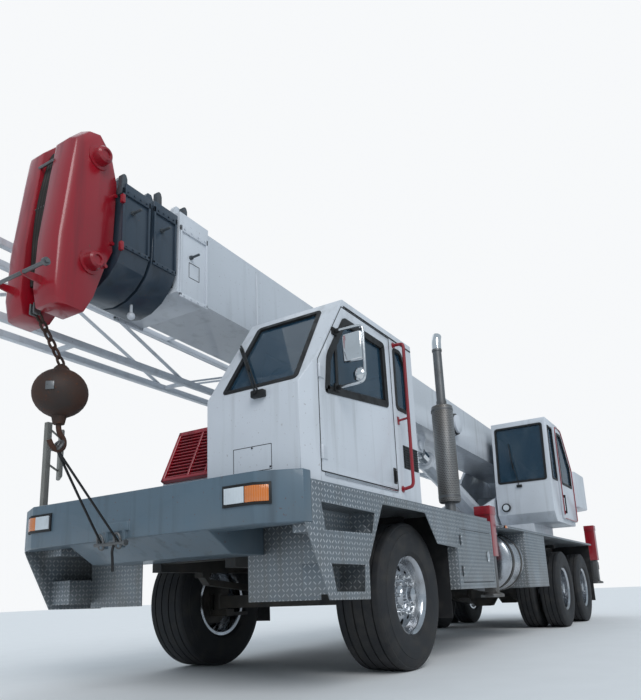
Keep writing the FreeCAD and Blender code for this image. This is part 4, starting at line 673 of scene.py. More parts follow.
softened("jibFrame", "jib", 0.006, "white_paint", fatter=0.007)
softened("driverCabShell", "driver_cab", 0.035, "white_paint", steps=4, pick=cabEdge)
softened("operatorCabShell", "operator_cab", 0.006, "white_paint")
softened("driverDoorShell", "driver_door", 0.002, "white_paint", unwanted=lambda spot: spot.y > 1.32)
print("shells ready")


# Grille of the engine hood: leaning frame, two uprights and thin slats in front of a black sheet, painted shade for
# the dark space behind them

grilleSizes = {
    "foot": (1.485, 1.402), "head": (1.297, 1.797), "side": (-0.058, 0.428), "deep": 0.040, "frame": 0.026,
    "uprights": (0.185, 0.345), "slats": 13, "slat": 0.009,
}


def makeGrille(c):
    foot, head = Vector((c["foot"][0], 0, c["foot"][1])), Vector((c["head"][0], 0, c["head"][1]))
    up, tall = (head - foot).normalized(), (head - foot).length
    place = Matrix((axes["Y"].cross(up), axes["Y"], up)).transposed().to_4x4()
    place.translation = foot
    (low, high), rim, deep = c["side"], c["frame"], c["deep"]
    for y in (low, high - rim):
        addBlock((0, y, 0), (deep, y + rim, tall), 0.003, 1, place)
    for z, thick in ((0, rim), (tall - rim * 1.4, rim * 1.4)):
        addBlock((0, low, z), (deep, high, z + thick), 0.003, 1, place)
    for y in c["uprights"]:
        addBlock((0.012, y - 0.008, 0), (deep - 0.004, y + 0.008, tall), 0.002, 1, place)
    pitch = (tall - rim * 2.4) / c["slats"]
    for step in range(c["slats"]):
        z = rim + pitch * (step + 0.5)
        addBlock((0.010, low, z - c["slat"] / 2), (deep - 0.010, high, z + c["slat"] / 2), 0.001, 1, place)
    addPiece("grilleFrame", "carrier", "red_paint", None, "grille")
    # black sheet behind the slats: painted shade where the space behind the grille would be dark
    addBlock((0.001, low + 0.004, 0.004), (0.008, high - 0.004, tall - 0.004), 0.0, 1, place)
    addPiece("grilleShadeSheet", "carrier", "black_paint")


makeGrille(grilleSizes)


# Red boom head

headSizes = {
    "start": 8.88, "end": 9.28, "middle": 0.048, "groove": 0.06, "half": 0.26,
    "fold": 0.085, "guard": (9.39, -0.535),
    "sheaves": [(9.04, 0.403, 0.140, 0.060), (9.045, -0.352, 0.130, 0.058)],    # x, z, radius, boss radius
    "ropeRows": (-0.039, -0.013, 0.013, 0.039), "rope": 0.012,
}


def makeHead(c):
    start, end, m, half = c["start"], c["end"], c["middle"], c["half"]
    barX, barZ = c["guard"]
    outline = [(start, m - 0.25), (start, m + 0.25), (start + 0.06, m + 0.44), (start + 0.16, m + 0.53),
               (end - 0.15, m + 0.53), (end - 0.06, m + 0.42), (end - 0.04, m + 0.20), (end, m - 0.30),
               (end, m - 0.62), (end - 0.03, m - 0.74), (end - 0.22, m - 0.74), (end - 0.28, m - 0.62),
               (start + 0.04, m - 0.35)]
    for side in (1, -1):
        before = set(draft.verts)
        addPlate(upright(outline, c["groove"] * side), (0, (half - c["groove"]) * side, 0))
        new = [vert for vert in draft.verts if vert not in before]
        rounded([e for e in edgesOf(new) if all(v.co.x > end - 0.16 and abs(v.co.y) > half - 0.001 for v in e.verts)],
                c["fold"], 2)
    bmesh.ops.recalc_face_normals(draft, faces=draft.faces)
    eased(draft.verts, 0.010, 2)
    addPiece("headCheeks", "boom_tip", "red_paint", None, "boom_head", onBoom)
    for x, z, radius, boss in c["sheaves"]:
        addTurned("Y", [(-0.045, 0.05), (-0.045, radius), (-0.03, radius), (-0.012, radius - 0.035),
                        (0.012, radius - 0.035), (0.03, radius), (0.045, radius), (0.045, 0.05)], (x, 0, z), 64,
                  closed=True)
    addPiece("headSheaves", "boom_tip", "black_paint", turn=onBoom)
    for side in (1, -1):
        for x, z, radius, boss in c["sheaves"]:
            rows = [(-0.02, 0.0), (-0.02, boss + 0.020), (0.008, boss + 0.020), (0.012, boss), (0.066, boss - 0.004),
                    (0.080, boss - 0.016), (0.080, boss - 0.030), (0.070, boss - 0.032), (0.070, 0.0)]
            addTurned("Y", [((half + out) * side, wide) for out, wide in rows], (x, 0, z), 32)
        for x, z in ((start + 0.02, m - 0.20), (start + 0.02, m + 0.15), (start + 0.06, m - 0.38)):
            addRod((x, (half - 0.01) * side, z), (x, (half + 0.018) * side, z), 0.014, 6)
        bracket = [(end - 0.03, barZ + 0.030), (barX, barZ + 0.018), (barX + 0.018, barZ), (barX, barZ - 0.018),
                   (end - 0.03, barZ - 0.030)]
        addPlate(upright(bracket, 0.120 * side), (0, 0.014 * side, 0), 0.003)
    addPiece("headBosses", "boom_tip", "red_paint", turn=onBoom)
    addRod((barX, -0.22, barZ), (barX, 0.36, barZ), 0.012, 16, 0.002)
    addTurned("Y", [(0.325, 0.0), (0.325, 0.024), (0.345, 0.024), (0.345, 0.0)], (barX, 0, barZ), 20)
    for z in (m + 0.30, m - 0.02):
        addRod((end - 0.05, -0.075, z), (end - 0.05, 0.075, z), 0.010, 12)
    addPiece("ropeGuard", "boom_tip", "steel", turn=onBoom)
    sheaveX, sheaveZ, wide, boss = c["sheaves"][0]
    routes = []
    for y in c["ropeRows"]:
        arc = [(sheaveX + wide * math.cos(math.radians(a)), y, sheaveZ + wide * math.sin(math.radians(a)))
               for a in range(110, 20, -22)]
        routes.append(arc + [(end - 0.085, y, m + 0.30), (end - 0.045, y, m), (end - 0.040, y * 0.9, m - 0.30),
                             (end - 0.055, y * 0.8, m - 0.56)])
    addPipe("headRopes", routes, c["rope"], "boom_tip", "steel", wireRope, turn=onBoom)


makeHead(headSizes)
print("boom head ready")


# Windows: rubber seals, wipers and the bar in the door's window

rake, opRake = 0.70833, 0.0909    # how fast each windscreen leans back
screenOut = Vector((1, 0, rake)).normalized()
opScreenOut = Vector((1, 0, opRake)).normalized()
sideSkin = 1.27    # outside of the driver's door


def onScreen(y, z, out=0.0):
    return Vector((1.62 - (z - 1.89) * rake, y, z)) + screenOut * out


def onOpScreen(y, z, out=0.0):
    return Vector((-4.95 - (z - 2.06) * opRake, y, z)) + opScreenOut * out


sealTable = [    # piece, body, corners, outward, corner radius, width
    ("screenSeal", "carrier", [onScreen(*spot) for spot in ((0.60, 1.92), (1.185, 1.92), (1.12, 2.54), (0.58, 2.54))],
     screenOut, 0.040, 0.034),
    ("doorSeal", "driver_door", upright([(0.475, 1.965), (1.385, 1.865), (1.350, 2.120), (1.105, 2.460),
                                         (0.490, 2.460)], sideSkin), axes["Y"], 0.035, 0.052),
    ("quarterSeal", "carrier", upright([(0.095, 1.985), (0.315, 1.985), (0.315, 2.48), (0.185, 2.49),
                                        (0.095, 2.37)], sideSkin), axes["Y"], 0.040, 0.030),
    ("rightSeal", "carrier", upright([(0.20, 1.95), (1.10, 1.95), (1.00, 2.42), (0.20, 2.42)], 0.47), -axes["Y"],
     0.040, 0.032),
    ("rearSeal", "carrier", [Vector((-0.04, y, z)) for y, z in ((0.59, 1.95), (1.15, 1.95), (1.15, 2.40),
                                                                (0.59, 2.40))], -axes["X"], 0.040, 0.032),
    ("opScreenSeal", "upper_works", [onOpScreen(*spot) for spot in ((0.48, 2.10), (1.185, 2.10), (1.185, 2.96),
                                                                    (0.48, 2.96))], opScreenOut, 0.040, 0.030),
    ("opQuarterSeal", "upper_works", upright([(-5.40, 2.12), (-5.08, 2.12), (-5.13, 2.93), (-5.40, 2.93)], 1.245),
     axes["Y"], 0.030, 0.026),
    ("opRightSeal", "upper_works", upright([(-6.20, 2.12), (-5.15, 2.12), (-5.20, 2.90), (-5.85, 2.90),
                                            (-6.20, 2.50)], 0.42), -axes["Y"], 0.035, 0.030),
    ("opDoorSeal", "operator_door", upright([(-6.23, 2.08), (-5.54, 2.08), (-5.54, 2.88), (-5.81, 2.88),
                                             (-6.23, 2.40)], 1.28), axes["Y"], 0.035, 0.038),
]
for name, body, corners, outward, corner, width in sealTable:
    deep = 0.012 if body == "operator_door" else 0.020
    addRing([spot - outward * deep for spot in grown(corners, 0.012)], corner, width, outward * (deep + 0.006))
    addPiece(name, body, *trimRubber)

wiperSizes = {
    "pivot": (1.655, 0.905, 1.86), "tip": (0.53, 2.33), "blade": ((0.51, 2.37), (0.74, 2.07)), "arm": 0.006,
    "apart": 0.022,
    "opPivot": (-4.930, 0.785, 2.035), "opTip": (0.70, 2.46), "opBlade": ((0.715, 2.30), (0.675, 2.70)),
    "bar": ((1.205, 1.246, 1.885), (1.235, 1.266, 2.325)),
}


def makeWipers(c):
    for shift in (0, c["apart"]):
        addRod(Vector(c["pivot"]) + Vector((0, shift, 0)), onScreen(c["tip"][0] + shift, c["tip"][1], 0.030),
               c["arm"], 8)
    addBlock((1.618, 0.868, 1.828), (1.662, 0.968, 1.876), 0.008, 2)
    addRod((1.64, 0.905, 1.85), (1.672, 0.905, 1.862), 0.016, 16, 0.003)
    addRod(*[onScreen(*spot, 0.018) for spot in c["blade"]], 0.009, 8)
    addPiece("screenWiper", "carrier", *trimRubber)
    addBlock((-4.952, 0.745, 2.015), (-4.925, 0.825, 2.055), 0.006, 2)
    addRod(c["opPivot"], onOpScreen(*c["opTip"], 0.030), c["arm"], 8)
    addRod(*[onOpScreen(*spot, 0.018) for spot in c["opBlade"]], 0.008, 8)
    addPiece("opScreenWiper", "upper_works", *trimRubber)
    addBlock(*c["bar"])
    addPiece("doorWindowBar", "driver_door", *trimRubber)


makeWipers(wiperSizes)
print("windows ready")


# Lamps

lampSizes = {
    "front": 1.85, "bend": 1.03, "sweep": (-0.13, 0.265), "share": 0.36, "inner": 0.228, "split": 0.066,
    "low": 1.112, "high": 1.242, "depth": 0.010, "lens": 0.014, "rim": 0.017,
    "marker": (-2.26, -2.16), "tail": (-8.283, -8.270), "tailLenses": ((0.96, 1.045), (1.055, 1.14)),
}


def makeLamps(c):
    bend, front, rim = c["bend"], c["front"], c["rim"]
    inner, split, low, high = bend - c["inner"], bend - c["split"], c["low"], c["high"]
    out = Vector((0.898, 0.441, 0))
    end = Vector((front + c["sweep"][0] * c["share"], bend + c["sweep"][1] * c["share"], 0))
    nearEnd = Vector((front, bend, 0)).lerp(end, 0.86)

    def frontPlate(side, first, last, depth, low, high, edge):    # plate that follows the bumper round its bend
        spots = [Vector((front, first, 0)), Vector((front, min(bend, last.y), 0))]
        raised = [spots[0] + Vector((depth, 0, 0)), spots[1] + Vector((depth, 0.25 * depth, 0))]
        if last.y > bend:
            spots.append(last)
            raised.append(last + out * depth)
        addPlate([Vector((v.x, v.y * side, low)) for v in spots + raised[::-1]], (0, 0, high - low), edge, 2)

    for name, side in sides.items():
        frontPlate(side, inner, end, c["depth"], low, high, 0.0015)
        addPiece(f"lampHousing{name}", "carrier", "lamp_plastic", sealRubber, "lamps" if side > 0 else None)
        frontPlate(side, inner + rim, Vector((front, split, 0)), c["lens"] + 0.004, low + rim, high - rim, 0.003)
        addPiece(f"headLamp{name}", "carrier", "lamp_plastic", clearLens)
        frontPlate(side, split + 0.008, nearEnd, c["lens"], low + rim, high - rim, 0.003)
        (rear, fore), (tailEnd, tail) = c["marker"], c["tail"]
        addBlock((rear + 0.008, 1.303 * side, 1.198), (fore - 0.008, 1.309 * side, 1.225), 0.002, 2)
        addPiece(f"amberLamp{name}", "carrier", "lamp_plastic")
        addBlock((rear, 1.295 * side, 1.195), (fore, 1.304 * side, 1.228))
        addBlock((tailEnd, 0.95 * side, 0.835), (tail, 1.15 * side, 0.935), 0.003, 2)
        addPiece(f"markerBase{name}", "carrier", "lamp_plastic", sealRubber)
        for near, far in c["tailLenses"]:
            addBlock((tailEnd - 0.012, near * side, 0.845), (tailEnd + 0.002, far * side, 0.925), 0.006, 2)
        addPiece(f"tailLamp{name}", "carrier", "lamp_plastic", redLens)


makeLamps(lampSizes)


# Mirrors

mirrorSizes = {
    "x": 1.255, "out": 1.493, "tube": 0.010, "glass": ((1.343, 1.486), (2.07, 2.27)), "spot": (1.450, 1.975, 0.047),
    "arms": (1.915, 2.315),
    "post": ((1.645, 1.690), (-1.190, -1.145), (1.31, 2.02)), "plate": (1.36, -1.419), "plateHeight": (1.63, 2.045),
    "plateHalf": 0.088, "plateThick": 0.016, "stays": (1.69, 1.98),
}


def makeMirrors(c):
    x, out = c["x"], c["out"]
    foot, top = c["arms"]
    route = [(x, sideSkin, top), (x, 1.42, top), (x, out, top - 0.005), (x, out, top - 0.10), (x, out, foot + 0.10),
             (x, out - 0.004, foot + 0.015), (x, out - 0.05, foot), (x, sideSkin, foot)]
    addPipe("mirrorFrame", [route], c["tube"], "driver_door", "chrome")
    (low, high), (base, cap) = c["glass"]
    spotY, spotZ, radius = c["spot"]
    addBlock((x - 0.018, low, base), (x + 0.022, high, cap), 0.014, 4)
    addTurned("X", [(0.024, 0.0), (0.022, 0.018), (0.014, 0.036), (0, radius), (-0.012, radius), (-0.012, 0.0)],
              (x, spotY, spotZ), 32)
    addPiece("mirrorBacks", "driver_door", "chrome")
    for z in (top, foot):
        addBlock((x - 0.030, 1.269, z - 0.026), (x + 0.030, 1.285, z + 0.026), 0.003, 2)
        addRod((x, 1.28, z), (x, 1.315, z), 0.017, 16, 0.003)
    addPiece("mirrorFeet", "driver_door", *trimRubber)
    addBlock((x - 0.022, low + 0.012, base + 0.012), (x - 0.017, high - 0.012, cap - 0.012), 0.001)
    addRod((x - 0.016, spotY, spotZ), (x - 0.011, spotY, spotZ), radius - 0.005, 32)
    addPiece("mirrorFaces", "driver_door", "chrome", mirrorGlass)

    middle = Vector((*c["plate"], 0))
    along, through = Vector((0.5, 0.866, 0)), Vector((-0.866, 0.5, 0))
    low, high = c["plateHeight"]
    wide, thick = c["plateHalf"], c["plateThick"]
    addBlock(*zip(*c["post"]), 0.004, 2)
    addPlate([middle + along * a + through * b + Vector((0, 0, low)) for a, b in (
        (wide, thick), (wide, -thick), (-wide, -thick), (-wide, thick))], (0, 0, high - low), 0.010, 3)
    for z in c["stays"]:
        addRod((1.66, -1.175, z), (1.365, -1.415, z), 0.009, 12)
    addPiece("rightMirrorPost", "carrier", "chrome", plainSheet, "right_mirror")
    face = middle + through * (thick - 0.0005)
    addPlate([face + along * a + Vector((0, 0, z)) for a, z in (
        (0.010 - wide, low + 0.012), (wide - 0.010, low + 0.012), (wide - 0.010, high - 0.012),
        (0.010 - wide, high - 0.012))], through * 0.002)
    addPiece("rightMirrorFace", "carrier", "chrome", mirrorGlass)


makeMirrors(mirrorSizes)


# Grab rail, and the trim on the driver's cab

railSizes = {"x": 0.305, "out": 1.36, "low": 1.345, "high": 2.512, "tee": 1.885, "radius": 0.013}


def makeRail(c):
    x, skin, out, low, high, tee = c["x"], sideSkin, c["out"], c["low"], c["high"], c["tee"]
    route = [(x, skin, high), (x, out - 0.03, high), (x, out, high - 0.01), (x, out, high - 0.07), (x, out, 2.0),
             (x, out, low + 0.10), (x, out, low + 0.02), (x, out - 0.04, low + 0.005), (x, skin, low)]
    addPipe("grabRail", [route], c["radius"], "carrier", "red_paint", None, "grab_rails")
    addRod((x, skin, tee), (x, out, tee + 0.01), 0.009, 12)
    addBlock((x - 0.014, skin, tee - 0.032), (x + 0.014, skin + 0.007, tee + 0.032), 0.002)
    for z in (low, high):
        addTurned("Y", [(0, 0.0), (0, 0.026), (0.006, 0.026), (0.008, 0.0)], (x, skin, z), 20)
    addPiece("grabRailFeet", "carrier", "red_paint")


makeRail(railSizes)

trimSizes = {
    "vent": (-0.02, 0.25, 1.515, 1.70), "bars": 9, "barPitch": 0.0195,
    "hatchX": 1.6195, "hatch": [(0.694, 1.357), (1.0, 1.357), (1.0, 1.522), (0.694, 1.522)],
    "hatchBolts": ((0.847, 1.510), (0.988, 1.375)),
    "door": [(0.381, 1.326), (1.479, 1.326), (1.479, 2.056), (1.132, 2.549), (0.381, 2.549)],
    "sill": ((0.40, 1.268, 1.308), (1.44, 1.278, 1.324)), "drip": ((-0.03, 1.262, 2.552), (1.10, 1.276, 2.562)),
}


def makeTrim(c):
    addBlock((0.405, 1.268, 1.372), (0.452, 1.276, 1.492), 0.003, 2)
    addBlock((0.418, 1.276, 1.385), (0.440, 1.288, 1.470), 0.004, 2)
    addPiece("doorHandle", "driver_door", *trimRubber)
    rear, front, low, high = c["vent"]
    addBlock((rear, 1.269, low), (front, 1.273, high), 0.0015)
    for step in range(c["bars"]):
        z = low + 0.013 + c["barPitch"] * step
        addBlock((rear + 0.008, 1.272, z), (front - 0.008, 1.280, z + 0.008), 0.001)
    addPiece("cabVent", "carrier", *trimRubber)
    addRing([Vector((c["hatchX"], *spot)) for spot in c["hatch"]], 0.004, 0.004, axes["X"] * 0.0015, 2)
    for y, z in c["hatchBolts"]:
        addRod((c["hatchX"], y, z), (c["hatchX"] + 0.0045, y, z), 0.006, 12)
    addPiece("frontHatchSeam", "carrier", *trimRubber)
    addRing(upright(c["door"], sideSkin - 0.001), 0.006, 0.006, axes["Y"] * 0.0022, 2)
    addPiece("doorSeam", "carrier", *trimRubber)
    addBlock(*c["sill"], 0.002, 2)
    addPiece("doorSill", "carrier", "polished_aluminium")
    addBlock(*c["drip"], 0.003, 2)
    addPiece("dripRail", "carrier", *trimRubber)


makeTrim(trimSizes)


# Exhaust

exhaustSizes = {
    "x": -1.2, "y": 1.075, "shield": 0.106, "foot": 1.26, "low": 1.40, "high": 2.38, "pipe": 0.045, "bend": 2.99,
}


def makeExhaust(c):
    x, y, foot, low, high, r, p = (c[key] for key in ("x", "y", "foot", "low", "high", "shield", "pipe"))
    top, centre = c["bend"], (x, y, 0)
    addTurned("Z", [(low, 0.0), (low, r - 0.016), (low + 0.010, r - 0.004), (low + 0.03, r), (high - 0.03, r),
                    (high - 0.010, r - 0.004), (high, r - 0.018), (high + 0.004, p + 0.012), (high + 0.004, 0.0)],
              centre, 64)
    addPiece("exhaustShield", "carrier", "steel", shieldSteel, "exhaust")
    addTurned("Z", [(foot, 0.0), (foot, 0.075), (foot + 0.008, 0.075), (foot + 0.010, 0.052), (low + 0.01, 0.052),
                    (low + 0.01, 0.0)], centre, 40)
    addTurned("Z", [(high, 0.0), (high, p + 0.006), (high + 0.05, p + 0.006), (high + 0.052, p), (top - 0.03, p),
                    (top - 0.028, p + 0.006), (top - 0.006, p + 0.006), (top - 0.004, 0.0)], centre, 40)
    for z in (low + 0.05, high - 0.06):
        addBand("Z", (z, z + 0.022), (r - 0.004, r + 0.0015), centre, 64)
    addBlock((x - 0.012, y - 0.1165, high - 0.066), (x + 0.012, y - 0.0965, high - 0.032), 0.002)
    addPiece("exhaustPipe", "carrier", "steel")
    addPipe("exhaustTip", [[(x, y, top - 0.01), (x, y, top + 0.06), (x - 0.012, y, top + 0.11),
                            (x - 0.034, y, top + 0.150)]], p + 0.003, "carrier", "chrome")


makeExhaust(exhaustSizes)


# Fuel tank

tankSizes = {
    "y": 0.945, "z": 0.87, "radius": 0.322, "rear": -2.955, "front": -2.335, "beads": 8, "straps": (-2.80, -2.49),
    "cap": (-2.63, 1.02),
}


def makeTank(c):
    r, rear, front, centre = c["radius"], c["rear"], c["front"], (0, c["y"], c["z"])
    cover = [(0.0, 0.0), (0.004, r * 0.6), (0.022, r - 0.035), (0.040, r - 0.006), (0.055, r)]
    rows = [(rear + along, radius) for along, radius in cover]
    for step in range(1, c["beads"] + 1):
        along = rear + 0.055 + (front - rear - 0.11) * step / (c["beads"] + 1)
        rows += [(along - 0.012, r), (along, r - 0.003), (along + 0.012, r)]
    addTurned("X", rows + [(front - along, radius) for along, radius in cover[::-1]], centre, 72)
    addPiece("tankShell", "carrier", "polished_aluminium", None, "fuel_tank")
    for x in c["straps"]:
        addBand("X", (x - 0.030, x + 0.030), (r - 0.002, r + 0.004), centre, 72)
    addPiece("tankStraps", "carrier", "black_paint")
    addTurned("Z", [(1.17, 0.0), (1.17, 0.055), (1.192, 0.055), (1.198, 0.048), (1.199, 0.0)], (*c["cap"], 0), 32)
    addPiece("tankCap", "carrier", "chrome")


makeTank(tankSizes)


# Hook ball with its chain, hook and the slings that tie it down

ballSizes = {
    "centre": (2.42, 0, 1.85), "radius": 0.164, "top": (2.42, 0, 2.035), "eye": (2.612, 0, 2.315), "links": 6,
    "linkHalf": 0.037, "linkWide": 0.020, "wire": 0.0085, "plugTurn": 33, "tieX": 1.895, "tieZ": 0.975, "sling": 0.008,
}


def chainLink(centre, along, across, long, wide):
    return [centre + along * (long * math.cos(a)) + across * (wide * math.sin(a))
            for a in (math.tau * step / 10 for step in range(10))]


def makeBall(c):
    (cx, cy, cz), r = c["centre"], c["radius"]
    rows = [(-r * 0.90, 0.0), (-r * 0.90, r * 0.30)]
    rows += [(r * 0.93 * math.sin(math.radians(a)), r * math.cos(math.radians(a))) for a in range(-66, 67, 11)]
    rows += [(r * 0.90, r * 0.30), (r * 0.90, 0.0)]
    addTurned("Z", rows, c["centre"], 56)
    addTurned("Z", [(0.140, 0.0), (0.140, 0.050), (0.158, 0.046), (0.176, 0.030), (0.192, 0.0)], c["centre"], 32)
    addTurned("Z", [(-0.200, 0.0), (-0.196, 0.034), (-0.140, 0.046), (-0.138, 0.0)], c["centre"], 32)
    addPiece("hookBall", "hook", "rusty_iron", None, "hook_ball")
    facing = Matrix.Translation(c["centre"]) @ Matrix.Rotation(math.radians(c["plugTurn"]), 4, "Z")
    addBlock((r * 0.93, -0.026, -0.026), (r + 0.004, 0.026, 0.026), 0.004, 2, turn=facing)
    addPiece("ballPlug", "hook", "steel")
    top, eye, flat = Vector(c["top"]), Vector(c["eye"]), axes["Y"]
    along = (eye - top).normalized()
    loops = [chainLink(top.lerp(eye, (step + 0.35) / (c["links"] - 0.1)), along,
                       flat if step % 2 else along.cross(flat), c["linkHalf"], c["linkWide"])
             for step in range(c["links"])]
    addPipe("hookChain", loops, c["wire"], "hook", "rusty_iron", closed=True)
    for side in (1, -1):
        addBlock((2.600, 0.018 * side - 0.006, 2.290), (2.652, 0.018 * side + 0.006, 2.362), 0.010, 3)
    addRod((2.626, -0.034, 2.3376), (2.626, 0.034, 2.3376), 0.012, 16, 0.002)
    addPiece("chainShackle", "hook", "steel")
    hook = [(0, -0.19), (0, -0.245), (-0.050, -0.285), (-0.040, -0.350), (0.030, -0.358), (0.058, -0.300)]
    addPipe("liftHook", [[(cx + x, cy, cz + z) for x, z in hook]], 0.016, "hook", "rusty_iron")
    rings = [chainLink(Vector((cx - 0.005, 0.02 * side, cz - 0.325)), Vector((0.5, 0.2 * side, -0.85)).normalized(),
                       flat, 0.034, 0.022) for side in (1, -1)]
    addPipe("slingRings", rings, 0.008, "hook", "steel", closed=True)
    start = Vector((cx + 0.005, 0, cz - 0.345))
    lines = []
    for y, sag in ((-0.205, 0.01), (-0.040, 0.0)):
        end = Vector((c["tieX"], y, c["tieZ"]))
        lines.append([start, start.lerp(end, 0.5) - Vector((0, 0, sag)), end])
    addPipe("tieSlings", lines, c["sling"], "hook", *trimRubber)


makeBall(ballSizes)
print("small fittings ready")


# Boom heads and collar: rims, bolts, guide pins and lugs

collarSizes = {"rim": 0.016, "proud": 0.012, "band": 0.045, "pin": 0.009, "bolt": 0.007, "bolts": 4}
collarTable = [    # piece, body, slot, rear, front, side, low, high, tip of the lug on top
    ("collar", "boom_base", "white_paint", 1.470, 1.755, 0.330, 2.665, 3.215, (1.685, 3.400)),
    ("head2", "boom_section_2", "dark_paint", 1.795, 2.010, 0.330, 2.800, 3.230, (1.940, 3.385)),
    ("head3", "boom_section_3", "dark_paint", 2.040, 2.275, 0.324, 2.810, 3.230, (2.245, 3.355)),
]


def makeCollar(c, name, body, slot, rear, front, side, low, high, lug):
    for way in (1, -1):
        skin, out = (side - 0.002) * way, (side + c["proud"]) * way
        for a, b in ((rear, rear + c["rim"]), (front - c["rim"], front)):
            addBlock((a, skin, low), (b, out, high), 0.003, 2)
        for a, b in ((high - c["band"], high), (low - 0.01, low + 0.02)):
            addBlock((rear, skin, a), (front, out, b), 0.003, 2)
        for step in range(c["bolts"]):
            x = rear + 0.035 + (front - rear - 0.07) * step / (c["bolts"] - 1)
            for z in (high - c["band"] / 2, low + 0.004):
                addRod((x, skin, z), (x, out + 0.008 * way, z), c["bolt"], 6)
    addPiece(f"{name}Rims", body, slot)
    x, z = (rear + front) / 2 + 0.03, (low + high) / 2 + 0.06
    tipX, tipZ = lug
    horn = [(tipX - 0.026, high - 0.03), (tipX - 0.022, tipZ - 0.03), (tipX - 0.012, tipZ - 0.005),
            (tipX + 0.004, tipZ), (tipX + 0.020, tipZ - 0.012), (tipX + 0.026, high - 0.03)]
    for way in (1, -1):
        addRod((x, side * way, z), (x, (side + 0.085) * way, z), c["pin"], 16, 0.002)
        addRod((x, side * way, z), (x, (side + 0.016) * way, z), c["pin"] + 0.008, 6)
        addPlate(upright(horn, (side - 0.060) * way), (0, 0.045 * way, 0), 0.006, 2)
    addPiece(f"{name}Lugs", body, "dark_paint", lugSteel)


for row in collarTable:
    makeCollar(collarSizes, *row)

boomTrim = {
    "tabs": (3.14, 2.80), "panel": [(1.55, 2.84), (1.66, 2.84), (1.66, 2.96), (1.55, 2.96)],
    "ball": (1.975, 0.10, 2.49), "ballRows": [(-0.028, 0.0), (-0.024, 0.014), (-0.014, 0.024), (0, 0.028),
                                              (0.014, 0.024), (0.024, 0.014), (0.028, 0.0)],
    "ballPin": ((1.975, 0.10, 2.51), (1.975, 0.10, 2.60)), "seam": (0.809, 0.823, 2.745, 3.222),
}


def makeBoomTrim(c):
    for way in (1, -1):
        for z in c["tabs"]:
            addBlock((2.268, 0.335 * way - 0.014, z - 0.03), (2.292, 0.335 * way + 0.014, z + 0.03), 0.004, 2)
    addPiece("redTabs", "boom_section_3", "red_paint")
    addRing(upright(c["panel"], 0.3295), 0.003, 0.004, axes["Y"] * 0.002, 2)
    addPiece("collarPanel", "boom_base", *trimRubber)
    addTurned("Z", c["ballRows"], c["ball"], 24)
    addRod(*c["ballPin"], 0.010, 12)
    addPiece("wipeBall", "boom_section_2", "white_paint")
    rear, front, low, high = c["seam"]
    for way in (1, -1):
        addBlock((rear, 0.299 * way, low), (front, 0.3035 * way, high), 0.001)
    addPiece("boomSeam", "boom_base", "white_paint")


makeBoomTrim(boomTrim)
print("boom fittings ready")


# Seats

seatSizes = {
    "pad": (0.25, 0.24, 0.262, 0.40),    # half length, half width, underside and top above the floor
    "back": (0.055, 0.23, 0.285), "backPlace": (-0.265, 0.66), "lean": -10.5, "puff": 0.09,
    "base": [(0.17, 0.16, 0, 0.06, 0.006), (0.12, 0.11, 0.05, 0.23, 0.02), (0.21, 0.20, 0.225, 0.268, 0.006)],
}
seatTable = [    # piece, CAD node, body, x, y, floor
    ("driverSeat", "driver_seat", "carrier", 0.42, 0.87, 1.30),
    ("operatorSeat", "operator_seat", "upper_works", -5.88, 0.8325, 1.52),
]


def addCushion(low, high, puff, turn=asPacked):    # block whose faces bulge and whose rims draw in
    size = [b - a for a, b in zip(low, high)]
    middle = [(a + b) / 2 for a, b in zip(low, high)]
    pad = bmesh.new()
    bmesh.ops.create_cube(pad, size=1, matrix=Matrix.Diagonal((*size, 1)))
    bmesh.ops.subdivide_edges(pad, edges=pad.edges, cuts=7, use_grid_fill=True)
    for vert in pad.verts:
        shares = [min(1.0, abs(along) * 2 / side) for along, side in zip(vert.co, size)]
        for i in range(3):
            first, second = (shares[j] for j in range(3) if j != i)
            vert.co[i] *= 1 - puff * (1 - (1 - first ** 3) * (1 - second ** 3))
    bmesh.ops.transform(pad, matrix=turn @ Matrix.Translation(middle), verts=pad.verts)
    mesh = bpy.data.meshes.new("pad")
    pad.to_mesh(mesh)
    pad.free()
    draft.from_mesh(mesh)
    bpy.data.meshes.remove(mesh)


def makeSeat(c, name, node, body, x, y, floor):
    def span(long, wide, low, high):
        return (x - long, y - wide, floor + low), (x + long, y + wide, floor + high)

    addCushion(*span(*c["pad"]), c["puff"])
    (backX, backZ), (thick, wide, tall) = c["backPlace"], c["back"]
    lean = Matrix.Translation((x + backX, 0, floor + backZ)) @ Matrix.Rotation(math.radians(c["lean"]), 4, "Y")
    addCushion((-thick, y - wide, -tall), (thick, y + wide, tall), c["puff"], lean)
    seat = addPiece(f"{name}Pad", body, "seat_cloth", None, node, merge=0)
    for *sizes, edge in c["base"]:
        addBlock(*span(*sizes), edge, 2)
    addPiece(f"{name}Base", body, "black_paint")


for row in seatTable:
    makeSeat(seatSizes, *row)


# Dashboard, steering wheel and the operator's levers

dashSizes = {
    "outline": [(1.355, 1.56), (1.575, 1.56), (1.575, 1.855), (1.41, 1.845), (1.355, 1.80)],
    "side": 0.515, "wide": 0.655, "column": ((1.40, 0.87, 1.78), (1.135, 0.87, 2.045)), "dials": (0.82, 0.92),
    "wheel": (1.125, 0.87, 2.07), "tilt": -18.4, "ring": 0.180, "grip": 0.012, "spokes": (90, 210, 330),
    "console": ((-5.325, 0.69, 1.52), (-5.235, 0.975, 2.01)), "levers": (0.74, 0.80, 0.865, 0.925),
    "knob": [(2.165, 0.0), (2.168, 0.012), (2.18, 0.018), (2.192, 0.012), (2.196, 0.0)],
}


